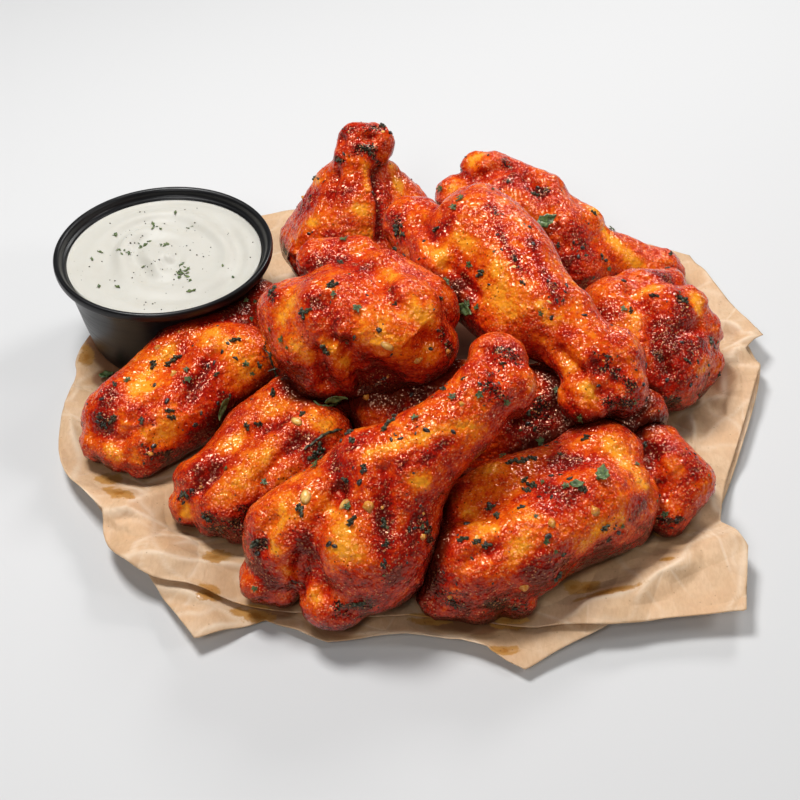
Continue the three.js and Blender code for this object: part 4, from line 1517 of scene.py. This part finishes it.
class WINGS_OT_paper(bpy.types.Operator):
    """Build the two sheets of paper"""

    bl_idname = "wings.paper"
    bl_label = "Paper"

    def execute(self, context):
        settings = context.scene.wings_paper
        material = paper_material(settings)
        sheets = [
            ("paper_lower", LOWER_OUTLINE, 0, 0),
            ("paper_upper", UPPER_OUTLINE, UPPER_BASE, SHEET["lift"]),
        ]
        for node, outline, base, lift in sheets:
            mesh = new_mesh(node, *sheet_mesh(outline, base, lift, settings))
            settle(new_object(f"sheet_{node}", mesh, material), [node])
        return {"FINISHED"}


POT_SECTORS = 160
DIP_SECTORS = 180
DIP_RINGS = 66


def turned(profile, sectors):
    """A profile of radius and height turned about the pot's axis, facing outwards."""
    angles = np.linspace(0, 2 * math.pi, sectors, endpoint=False)
    points, faces = rings_mesh([circle(radius, height, angles) for radius, height in profile])
    return points + POT_PLACE, faces


def pot_profile():
    """From the middle of the underside out and round to the middle of the floor inside."""
    foot_width = 1.6
    foot, height, rim, base, wall = (POT[k] for k in ("foot", "height", "rim", "base", "wall"))
    floor_top = foot + wall
    wall_top = rim - POT["rim_width"]
    flange = height - 3.5
    middle = 1
    return [
        (middle, foot), (base - foot_width - 0.4, foot), (base - foot_width, 0.05), (base, 0.05),
        (wall_top, flange), (rim - 0.4, flange + 0.6), (rim, flange + 1.4), (rim, height - 0.5),
        (rim - 0.6, height), (rim - 1.7, height - 0.4), (wall_top + 0.3, flange + 1.3),
        (wall_top - wall + 0.3, flange + 0.8), (wall_top - wall, flange),
        (base - wall - 0.1, floor_top + 0.6), (base - wall - 0.7, floor_top), (middle, floor_top),
    ]


class WINGS_OT_pot(bpy.types.Operator):
    """Build the pot and the dip in it"""

    bl_idname = "wings.pot"
    bl_label = "Pot of dip"

    def execute(self, context):
        settings = context.scene.wings_pot
        profile = pot_profile()
        at_axis = [i in (0, len(profile) - 1) for i in range(len(profile))]
        shell = new_mesh("pot", *turned(rounded(profile, 3, at_axis), POT_SECTORS))
        settle(new_object("pot_shell", shell, pot_material(settings)), ["pot"])
        filling = new_mesh("dip", *self.dip())
        settle(new_object("dip_fill", filling, dip_material(settings)), ["dip"])
        return {"FINISHED"}

    def dip(self):
        """The dip's swirled top, run down inside the pot's wall to its floor."""
        level = POT["height"] - DIP["below_rim"]
        edge = POT["rim"] - POT["rim_width"] - POT["wall"] - DIP["wall_gap"]
        floor = POT["foot"] + POT["wall"] + DIP["floor_gap"]
        angles = np.linspace(0, 2 * math.pi, DIP_SECTORS, endpoint=False)
        sides = [(1, floor), (POT["base"] - POT["wall"] - 1.2, floor), (edge - 0.9, level - 4)]
        rings = [circle(radius, height, angles) for radius, height in sides]
        for radius in np.linspace(edge, 0.4, DIP_RINGS):
            rings.append(circle(radius, level + dip_height(radius, angles, edge), angles))
        points, faces = rings_mesh(rings)
        return points + POT_PLACE, faces


def dip_height(radius, angle, edge):
    """Height of the dip above its level: a spiral ridge that ends in a low peak."""
    fade = 1 - smooth_step(0.75 * edge, edge, radius)
    wander = 0.9 * np.sin(2 * angle + 0.5) + 0.5 * np.sin(3 * angle + 0.3 * radius)
    spiral = np.cos(2 * math.pi * radius / DIP["spacing"] - angle + wander)
    uneven = 0.65 + 0.35 * np.sin(angle + 0.25 * radius + 2)
    ridge = DIP["swirl"] * spiral * uneven * smooth_step(0, 5, radius)
    cling = DIP["cling"] * smooth_step(edge - 1.4, edge, radius)
    return fade * (ridge + DIP["peak"] * np.exp(-((radius / 4) ** 2))) + cling


# Toppings. Each kind is one small shape repeated on spots that follow what they lie on.


def repeat_tree():
    """Geometry nodes that put a small shape on every point of a mesh, standing along its
    facing, turned by its spin and scaled by its size."""
    tree = bpy.data.node_groups.new("repeat_on_points", "GeometryNodeTree")
    face = tree.interface
    for name, kind in (
        ("Points", "NodeSocketGeometry"), ("Shape", "NodeSocketObject"),
        ("Material", "NodeSocketMaterial"),
    ):
        face.new_socket(name, in_out="INPUT", socket_type=kind)
    face.new_socket("Geometry", in_out="OUTPUT", socket_type="NodeSocketGeometry")
    nodes, links = tree.nodes, tree.links
    inputs, outputs = nodes.new("NodeGroupInput"), nodes.new("NodeGroupOutput")

    def named(name, kind):
        node = nodes.new("GeometryNodeInputNamedAttribute")
        node.data_type = kind
        node.inputs["Name"].default_value = name
        return node.outputs["Attribute"]

    shape = nodes.new("GeometryNodeObjectInfo")
    links.new(inputs.outputs["Shape"], shape.inputs["Object"])
    stand = nodes.new("FunctionNodeAlignRotationToVector")
    stand.axis = "Z"
    links.new(named("facing", "FLOAT_VECTOR"), stand.inputs["Vector"])
    spin = nodes.new("ShaderNodeCombineXYZ")
    links.new(named("spin", "FLOAT"), spin.inputs["Z"])
    turn = nodes.new("FunctionNodeRotateRotation")
    turn.rotation_space = "LOCAL"
    links.new(stand.outputs["Rotation"], turn.inputs["Rotation"])
    links.new(spin.outputs["Vector"], turn.inputs["Rotate By"])
    copies = nodes.new("GeometryNodeInstanceOnPoints")
    links.new(inputs.outputs["Points"], copies.inputs["Points"])
    links.new(shape.outputs["Geometry"], copies.inputs["Instance"])
    links.new(turn.outputs["Rotation"], copies.inputs["Rotation"])
    links.new(named("size", "FLOAT_VECTOR"), copies.inputs["Scale"])
    real = nodes.new("GeometryNodeRealizeInstances")
    links.new(copies.outputs["Instances"], real.inputs["Geometry"])
    paint = nodes.new("GeometryNodeSetMaterial")
    links.new(real.outputs["Geometry"], paint.inputs["Geometry"])
    links.new(inputs.outputs["Material"], paint.inputs["Material"])
    links.new(paint.outputs["Geometry"], outputs.inputs["Geometry"])
    return tree


def repeated(name, shape, spots, material):
    """One piece with a copy of a small shape at each spot, which has its place in mm, its
    facing, its spin in radians and its size."""
    places = np.array([spot["place"] for spot in spots])
    mesh = bpy.data.meshes.new(name)
    mesh.vertices.add(len(places))
    mesh.vertices.foreach_set("co", (places * MM).astype(np.float32).ravel())
    for key, kind, field in (
        ("facing", "FLOAT_VECTOR", "vector"), ("size", "FLOAT_VECTOR", "vector"),
        ("spin", "FLOAT", "value"),
    ):
        numbers = np.array([spot[key] for spot in spots], np.float32)
        mesh.attributes.new(key, kind, "POINT").data.foreach_set(field, numbers.ravel())
    piece = bpy.data.objects.new(name, mesh)
    bpy.context.scene.collection.objects.link(piece)
    source = bpy.data.objects.new(f"{name}_shape", new_mesh(f"{name}_shape", *shape))
    tree = repeat_tree()
    modifier = piece.modifiers.new("repeat", "NODES")
    modifier.node_group = tree
    sockets = {item.name: item.identifier for item in tree.interface.items_tree}
    modifier[sockets["Shape"]] = source
    modifier[sockets["Material"]] = material
    apply_modifiers(piece)
    bpy.data.objects.remove(source)
    settle(piece)


def crumb_shape(seed, roughness, rows=5, columns=8):
    """A small angular lump one mm in radius, with a few dozen faces."""
    rings = []
    for row in range(rows + 1):
        polar = math.pi * (0.04 + 0.92 * row / rows)
        turns = np.linspace(0, 2 * math.pi, columns, endpoint=False) + 0.3 * row
        ring = circle(math.sin(polar), -math.cos(polar), turns)
        rings.append(ring * (1 + roughness * value_noise(ring * 1.7 + seed, seed))[:, None])
    return rings_mesh(rings)


def cluster_shape(seed, bits):
    """A ragged cluster of small lumps, about two mm long."""
    random = np.random.default_rng(seed)
    lumps = []
    for bit in range(bits):
        lump, quads = crumb_shape(seed + bit, 0.7, 3, 6)
        size = random.uniform(0.35, 0.62) * np.array([1, random.uniform(0.6, 1.0), 0.8])
        place = random.normal(0, 1, 3) * [0.5, 0.36, 0.12]
        lumps.append((lump * size + place, quads))
    return joined(lumps)


def seed_shape():
    """A flat oval seed one mm in half length, with its rim marked for the colour."""
    width, height = 0.72, 0.4
    points, faces = crumb_shape(8, 0.06, 7, 14)
    points = points * [1, width, height]
    rim = smooth_step(0.62, 0.9, np.hypot(points[:, 0], points[:, 1] / width))
    return points, faces, {"rim": rim}


def strand_mesh(pixels, seed, thick):
    """A curled strand of herb along some pixels of the photograph, lying on the skin."""
    lift, wiggle, wiggle_width, around, spacing = 0.45, 0.5, 1.6, 6, 0.35
    bends = touched(pixels)[0]
    span = np.linalg.norm(np.diff(bends, axis=0), axis=1)
    ends = np.concatenate([[0], np.cumsum(span)])
    steps = np.arange(0, ends[-1], spacing)
    middle = np.stack([np.interp(steps, ends, bends[:, axis]) for axis in range(3)], axis=1)
    middle = middle + wiggle * noise_shift(middle, wiggle_width, 9, seed)
    middle += [0, -0.2 * lift, lift]
    ahead = np.gradient(middle, axis=0)
    ahead /= np.linalg.norm(ahead, axis=1)[:, None]
    side = np.cross(ahead, FACING_UP)
    side /= np.linalg.norm(side, axis=1)[:, None]
    top = np.cross(side, ahead)
    taper = np.sin(math.pi * np.linspace(0.06, 0.94, len(middle))) ** 0.5
    radius = thick * taper * (1 + 0.6 * value_noise(middle / 0.9, seed + 1))
    turns = np.linspace(2 * math.pi, 0, around, endpoint=False)[:, None]
    rings = [
        place + thick_here * (np.cos(turns) * beside + 0.5 * np.sin(turns) * above)
        for place, beside, above, thick_here in zip(middle, side, top, radius)
    ]
    return rings_mesh(rings)


def leaf_shape(length, width, teeth, curl, rows=10, thickness=0.12, tip=0.8):
    """A leaf blade along +X, toothed at its edge, folded at its midrib and curled."""
    columns = np.linspace(-1, 1, 7)
    share = np.linspace(0, 1, rows)
    notches = 1 - 0.28 * np.abs(np.sin(math.pi * teeth * share))
    outline = np.sin(math.pi * share**tip) ** 0.8 * notches
    rings = []
    for s, half in zip(share, np.maximum(outline, 0.04)):
        x = (s - 0.5) * length
        y = columns * half * width / 2
        fold = 0.22 * np.abs(y)
        z = fold + curl * length * (s - 0.5) ** 2 + 0.06 * width * np.sin(9 * s + 3 * columns)
        low = np.stack([np.full(len(columns), x), y, z], axis=1)
        rings.append(np.concatenate([low, low[::-1] + [0, 0, thickness]]))
    return rings_mesh(rings)


def flake_shape(seed):
    """A ragged, crumpled flake about two mm long."""
    crumple, crumple_width = 0.28, 0.625
    points, faces = leaf_shape(2.2, 1.7, 2 + seed % 2, 0.3, 6, 0.16)
    return points + crumple * noise_shift(points, crumple_width, 5, seed), faces


def ragged_shape(seed, bits):
    """A torn bit of parsley: small flakes that grow out of one spot, about three mm long."""
    random = np.random.default_rng(seed)
    flakes = []
    for bit in range(bits):
        flake, quads = flake_shape(seed + bit)
        angle = 2 * math.pi * (bit + random.uniform(-0.3, 0.3)) / bits
        turn = np.array([
            [math.cos(angle), math.sin(angle), 0], [-math.sin(angle), math.cos(angle), 0], [0, 0, 1],
        ])
        flakes.append(((flake * random.uniform(0.45, 0.75) + [0.6, 0, 0.1 * bit]) @ turn, quads))
    return joined(flakes)


def all_skin():
    """The points of every skin, their facing, and how likely a topping lies on each: in drifts
    on the upper sides, away from other pieces, and mostly where sauce and char are."""
    points = np.concatenate([skin["points"] for skin in skins])
    normals = np.concatenate([skin["normals"] for skin in skins])
    weights = np.concatenate([
        (skin["normals"][:, 2] > -0.1)
        * (1 - skin["values"]["near"])
        * (0.35 + skin["values"]["sauce"] + 2 * skin["values"]["char"])
        * np.clip(0.5 + 3 * layered_noise(skin["points"], 7, 91, 2), 0, 2) ** 1.5
        for skin in skins
    ])
    return points, normals, weights


FULL_TURN = 6.28


def spot(place, facing, size, random):
    """Where one copy of a shape goes, spun at random about its facing."""
    return {"place": place, "facing": facing, "size": size, "spin": FULL_TURN * random.random()}


def skin_spot(place, facing, size, narrowest, flat, sink, random):
    """A spot at one place on a skin, sunk by a share of its thickness."""
    shape = size * np.array([1, narrowest + (1 - narrowest) * random.random(), flat])
    return spot(place - sink * shape[2] * facing, facing, shape, random)


def scattered(count, seed, least, most, flat=1.0, sink=0.2):
    """Random spots on the skins, thicker where sauce and char are, and mostly small."""
    random = np.random.default_rng(seed)
    points, normals, weights = all_skin()
    chosen = random.choice(len(points), count, replace=False, p=weights / weights.sum())
    spots = []
    for place, facing in zip(points[chosen], normals[chosen]):
        size = least + (most - least) * random.random() ** 2.2
        spots.append(skin_spot(place, facing, size, 0.55, flat, sink, random))
    return spots


def placed(pixels, seed, least, most, flat=1.0, sink=0.2):
    """Spots under named pixels of the photograph, on the nearest point of skin."""
    random = np.random.default_rng(seed)
    points, normals, _ = all_skin()
    spots = []
    for target in touched(pixels)[0]:
        nearest = np.argmin(((points - target) ** 2).sum(axis=1))
        size = least + (most - least) * random.random()
        spots.append(skin_spot(points[nearest], normals[nearest], size, 0.6, flat, sink, random))
    return spots


# Where the photograph shows toppings, and how many smaller seeds and garlic bits lie about.
SMALL_SEEDS = 14
SMALL_GARLIC = 30
SEED_PIXELS = [(296, 422), (344, 504), (305, 497), (387, 346)]
GARLIC_PIXELS = [(551, 523), (594, 512), (525, 587), (369, 507), (173, 373), (417, 361), (366, 397)]
PARSLEY_PIXELS = [
    (415, 420), (316, 466), (349, 507), (333, 294), (357, 309), (186, 371), (187, 379), (444, 283),
    (468, 305), (478, 307), (557, 391), (454, 208), (461, 199), (665, 515), (600, 478), (566, 487),
    (245, 365), (470, 266), (441, 190), (452, 398), (582, 418), (540, 441), (503, 457), (250, 320),
    (343, 240), (624, 310), (610, 230), (505, 400), (282, 340), (128, 380), (480, 395), (262, 480),
]
DRIED_PIXELS = [
    (331, 284), (335, 286), (273, 290), (304, 315), (309, 310), (324, 350), (170, 410), (171, 417),
    (105, 426), (112, 420), (141, 422), (235, 340), (176, 358), (170, 362), (153, 366), (257, 424),
    (248, 427), (187, 495), (207, 518), (272, 392), (301, 413), (391, 423), (396, 417), (385, 428),
    (349, 434), (351, 440), (363, 470), (344, 480), (301, 511), (352, 520), (254, 545), (320, 448),
    (312, 457), (531, 486), (525, 490), (580, 488), (520, 462), (512, 462), (533, 458), (585, 440),
    (645, 447), (463, 538), (477, 541), (489, 545), (491, 507), (498, 517), (606, 527), (557, 577),
    (434, 228), (396, 225), (397, 232), (480, 275), (524, 283), (537, 191), (593, 213), (602, 257),
    (364, 149), (370, 152), (340, 160), (683, 300), (655, 296), (710, 341), (631, 310), (359, 604),
]
PEPPER_PIXELS = [
    (323, 349), (221, 351), (209, 361), (236, 359), (228, 343), (154, 385), (166, 401), (235, 358),
    (360, 483), (364, 471), (334, 547), (329, 545), (427, 430), (453, 431), (478, 540), (487, 545),
    (468, 525), (676, 520), (526, 460), (534, 457), (489, 505), (580, 487), (586, 490), (548, 536),
]

# Long curled bits of herb: half the width in mm, then pixels of the photograph along them.
STRANDS = [
    (0.34, ((315, 401), (319, 404), (327, 406), (336, 405), (342, 400))),
    (0.5, ((341, 429), (324, 436), (311, 445), (304, 452))),
    (0.3, ((267, 342), (265, 351), (269, 358), (273, 367), (276, 376), (282, 382))),
    (0.4, ((262, 357), (270, 356), (275, 352))),
    (0.35, ((268, 372), (275, 369), (280, 372))),
]


# Dark and pale colour of each topping; for fresh parsley, what is paler than its setting.
HERB_TINTS = {
    "pepper": ((0.008, 0.006, 0.005), (0.05, 0.03, 0.02)),
    "dried": ((0.012, 0.011, 0.005), (0.075, 0.08, 0.035)),
    "chopped": (0.12, 0.17, 0.05),
    "garlic": ((0.60, 0.17, 0.015), (0.80, 0.38, 0.06)),
    "on the dip": (0.14, 0.19, 0.05),
    "pepper on the dip": ((0.02, 0.02, 0.012), (0.09, 0.09, 0.05)),
    "leaf": (0.16, 0.24, 0.07),
}


class WINGS_OT_toppings(bpy.types.Operator):
    """Scatter pepper, dried herb, parsley, seeds and garlic over the wings"""

    bl_idname = "wings.toppings"
    bl_label = "Toppings"

    def execute(self, context):
        settings = context.scene.wings_topping
        if not skins:
            raise RuntimeError("The wing pieces come before their toppings")
        pepper = scattered(settings.pepper, 5, 0.16, 0.75, flat=0.7)
        pepper += placed(PEPPER_PIXELS, 6, 0.55, 0.85, flat=0.7)
        dried = scattered(settings.dried, 15, 0.3, 1.1, sink=-0.1)
        dried += placed(DRIED_PIXELS, 16, 1.0, 1.6, sink=-0.1)
        fresh = scattered(settings.fresh, 25, 0.3, 0.9, sink=-0.2)
        fresh += placed(PARSLEY_PIXELS, 26, 0.8, 1.3, sink=-0.2)
        seeds = placed(SEED_PIXELS, 36, 1.8, 2.2, sink=0.1)
        seeds += scattered(SMALL_SEEDS, 35, 0.7, 1.2, sink=0.3)
        garlic = placed(GARLIC_PIXELS, 46, 1.0, 1.5, flat=0.7)
        garlic += scattered(SMALL_GARLIC, 45, 0.4, 1.1, flat=0.7, sink=0.3)
        black = speck_material("cracked_pepper", *HERB_TINTS["pepper"], 0.35)
        dark = leaf_material("dried_herb", *HERB_TINTS["dried"])
        green = leaf_material("chopped_parsley", settings.green, HERB_TINTS["chopped"])
        gold = speck_material("garlic_bits", *HERB_TINTS["garlic"], 0.3)
        repeated("pepper_bits", crumb_shape(3, 0.5), pepper, black)
        repeated("dried_herb_flakes", cluster_shape(2, 7), dried, dark)
        repeated("parsley_bits", ragged_shape(3, 5), fresh, green)
        repeated("seeds", seed_shape(), seeds, seed_material())
        repeated("garlic", crumb_shape(11, 0.6), garlic, gold)
        for number, (thick, pixels) in enumerate(STRANDS):
            mesh = new_mesh(f"strand_{number}", *strand_mesh(pixels, 60 + number, thick))
            settle(new_object(f"herb_strand_{number}", mesh, dark if number else green))
        return {"FINISHED"}


# Bits of herb on the dip: pixels of the photograph, then how many bits lie there together.
DIP_HERB_PIXELS = [
    (153, 222, 1), (176, 214, 1), (157, 230, 4), (191, 226, 2), (116, 235, 2), (140, 243, 6),
    (167, 246, 7), (101, 252, 1), (128, 253, 7), (94, 260, 1), (142, 266, 1), (181, 264, 1),
    (180, 274, 12), (234, 275, 2), (195, 291, 3), (222, 267, 1), (118, 286, 1), (100, 287, 1),
]
DIP_SPECKS = 90
DIP_EDGE = POT["rim"] - POT["rim_width"] - POT["wall"]


class WINGS_OT_dip_herbs(bpy.types.Operator):
    """Sprinkle herb and pepper on the dip"""

    bl_idname = "wings.dip_herbs"
    bl_label = "Herbs on the dip"

    def execute(self, context):
        settings = context.scene.wings_topping
        random = np.random.default_rng(51)
        level = POT_PLACE[2] + POT["height"] - DIP["below_rim"]
        centres = on_level([(u, v) for u, v, _ in DIP_HERB_PIXELS], level)
        herbs = []
        for centre, (_, _, count) in zip(centres, DIP_HERB_PIXELS):
            spread = 0.25 * count**0.7
            for _ in range(count):
                size = random.uniform(0.35, 0.8) if count > 1 else random.uniform(0.6, 0.9)
                herbs.append(self.lying(centre + random.normal(0, spread, 2), level, size, random))
        green = leaf_material("dip_parsley", settings.green, HERB_TINTS["on the dip"])
        repeated("dip_parsley", flake_shape(3), herbs, green)
        specks = []
        while len(specks) < DIP_SPECKS:
            place = POT_PLACE[:2] + random.normal(0, 0.5 * DIP_EDGE, 2)
            if np.linalg.norm(place - POT_PLACE[:2]) < DIP_EDGE - 2:
                specks.append(self.lying(place, level, random.uniform(0.08, 0.28), random))
        black = speck_material("dip_pepper", *HERB_TINTS["pepper on the dip"], 0.4)
        repeated("dip_pepper", crumb_shape(5, 0.4), specks, black)
        return {"FINISHED"}

    def lying(self, place, level, size, random):
        """A spot on the dip's swirled top, leaning a little."""
        x, y = place - POT_PLACE[:2]
        height = level + dip_height(math.hypot(x, y), math.atan2(y, x), DIP_EDGE) + 0.03
        lean = np.array([*random.normal(0, 0.12, 2), 1])
        shape = size * np.array([1, random.uniform(0.6, 1), 1])
        return spot(np.array([*place, height]), lean, shape, random)


# Larger leaves, each in the place of the frame's leaf of that name: heading of the blade in
# degrees, length and width in mm, and number of teeth.
LEAVES = {
    "leaf_back": (35, 6.8, 4.6, 3),
    "leaf_top": (-40, 5.4, 3.4, 3),
    "leaf_left": (-60, 6.4, 2.6, 1),
    "leaf_middle": (30, 6.0, 2.9, 2),
    "leaf_front": (80, 4.8, 3.7, 3),
    "leaf_front_small": (10, 3.6, 2.7, 2),
    "leaf_paper": (20, 4.2, 3.2, 2),
}
LEAF_REACH = 4  # a leaf nearer to a skin than this follows it, and any other lies level


class WINGS_OT_leaves(bpy.types.Operator):
    """Lay the larger parsley leaves"""

    bl_idname = "wings.leaves"
    bl_label = "Parsley leaves"

    def execute(self, context):
        settings = context.scene.wings_topping
        material = leaf_material("parsley_leaf", settings.green, HERB_TINTS["leaf"])
        points, normals, _ = all_skin()
        for node, (heading, length, width, teeth) in LEAVES.items():
            centre = middle_of(node)
            nearest = np.argmin(((points - centre) ** 2).sum(axis=1))
            on_skin = np.linalg.norm(points[nearest] - centre) < LEAF_REACH
            up = normals[nearest] if on_skin else FACING_UP
            angle = math.radians(heading)
            along = np.array([math.cos(angle), math.sin(angle), 0])
            along -= up * (along @ up)
            along /= np.linalg.norm(along)
            shape, faces = leaf_shape(length, width, teeth, 0.5, 24, tip=0.75)
            laid = shape @ np.stack([along, np.cross(up, along), up]) + centre
            mesh = new_mesh(node, laid, faces)
            settle(new_object(f"parsley_{node}", mesh, material), [node])
        return {"FINISHED"}


FLOOR = {"half": 2500, "level": -0.3, "colour": (0.66, 0.66, 0.66)}

# Softboxes: place, side and share of the key light's power.
LIGHTS = {
    "key_light": ((-190, 130, 580), 170, 1),
    "back_light": ((230, 400, 360), 130, 0.36),
    "front_light": ((-160, -420, 460), 170, 0.26),
    "right_light": ((420, -60, 330), 120, 0.14),
}


class WINGS_OT_stage(bpy.types.Operator):
    """Set the floor, the lights and the camera"""

    bl_idname = "wings.stage"
    bl_label = "Floor, lights and camera"

    def execute(self, context):
        settings = context.scene.wings_stage
        material = Shader("pale_floor").finish(Base_Color=FLOOR["colour"], Roughness=0.9)
        half, level = FLOOR["half"], FLOOR["level"]
        corners = [(x * half, y * half, level) for x, y in ((-1, -1), (1, -1), (1, 1), (-1, 1))]
        new_object("floor", new_mesh("floor", corners, [[0, 1, 2, 3]]), material)
        for name, (place, size, share) in LIGHTS.items():
            light = bpy.data.lights.new(name, "AREA")
            light.size = size * MM
            light.energy = share * settings.key
            lamp = bpy.data.objects.new(name, light)
            lamp.location = Vector(place) * MM
            lamp.rotation_euler = (-lamp.location).to_track_quat("-Z", "Y").to_euler()
            context.scene.collection.objects.link(lamp)
        world = bpy.data.worlds.new("studio")
        world.use_nodes = True
        background = world.node_tree.nodes["Background"]
        background.inputs["Color"].default_value = (1, 1, 1, 1)
        background.inputs["Strength"].default_value = settings.sky
        context.scene.world = world
        context.scene.view_settings.view_transform = "Standard"
        data = bpy.data.cameras.new("camera")
        data.lens = CAMERA["lens"]
        data.sensor_width = CAMERA["sensor"]
        data.clip_start = 0.01
        camera = bpy.data.objects.new("camera", data)
        camera.location = Vector(CAMERA["place"]) * MM
        camera.rotation_euler = (math.radians(CAMERA["pitch"]), 0, 0)
        context.scene.collection.objects.link(camera)
        context.scene.camera = camera
        return {"FINISHED"}


STEPS = (
    WINGS_OT_stage,
    WINGS_OT_skins,
    WINGS_OT_paper,
    WINGS_OT_pot,
    WINGS_OT_toppings,
    WINGS_OT_dip_herbs,
    WINGS_OT_leaves,
)


class WINGS_PT_panel(bpy.types.Panel):
    bl_label = "Chicken wings"
    bl_idname = "WINGS_PT_panel"
    bl_space_type = "VIEW_3D"
    bl_region_type = "UI"
    bl_category = "Wings"

    def draw(self, context):
        for step in STEPS:
            self.layout.operator(step.bl_idname)
        for name in SETTINGS:
            group = getattr(context.scene, name)
            for key in group.bl_rna.properties.keys():
                if key not in ("rna_type", "name"):
                    self.layout.prop(group, key)


SETTINGS = {
    "wings_skin": WingSettings,
    "wings_paper": PaperSettings,
    "wings_pot": PotSettings,
    "wings_topping": ToppingSettings,
    "wings_stage": StageSettings,
}


CLASSES = (*SETTINGS.values(), *STEPS, WINGS_PT_panel)


def register():
    for made in CLASSES:
        bpy.utils.register_class(made)
    for name, group in SETTINGS.items():
        setattr(bpy.types.Scene, name, PointerProperty(type=group))


def unregister():
    for name in SETTINGS:
        delattr(bpy.types.Scene, name)
    for made in reversed(CLASSES):
        bpy.utils.unregister_class(made)


def main():
    register()
    for step in STEPS:
        group, name = step.bl_idname.split(".")
        getattr(getattr(bpy.ops, group), name)()


if __name__ == "__main__":
    main()
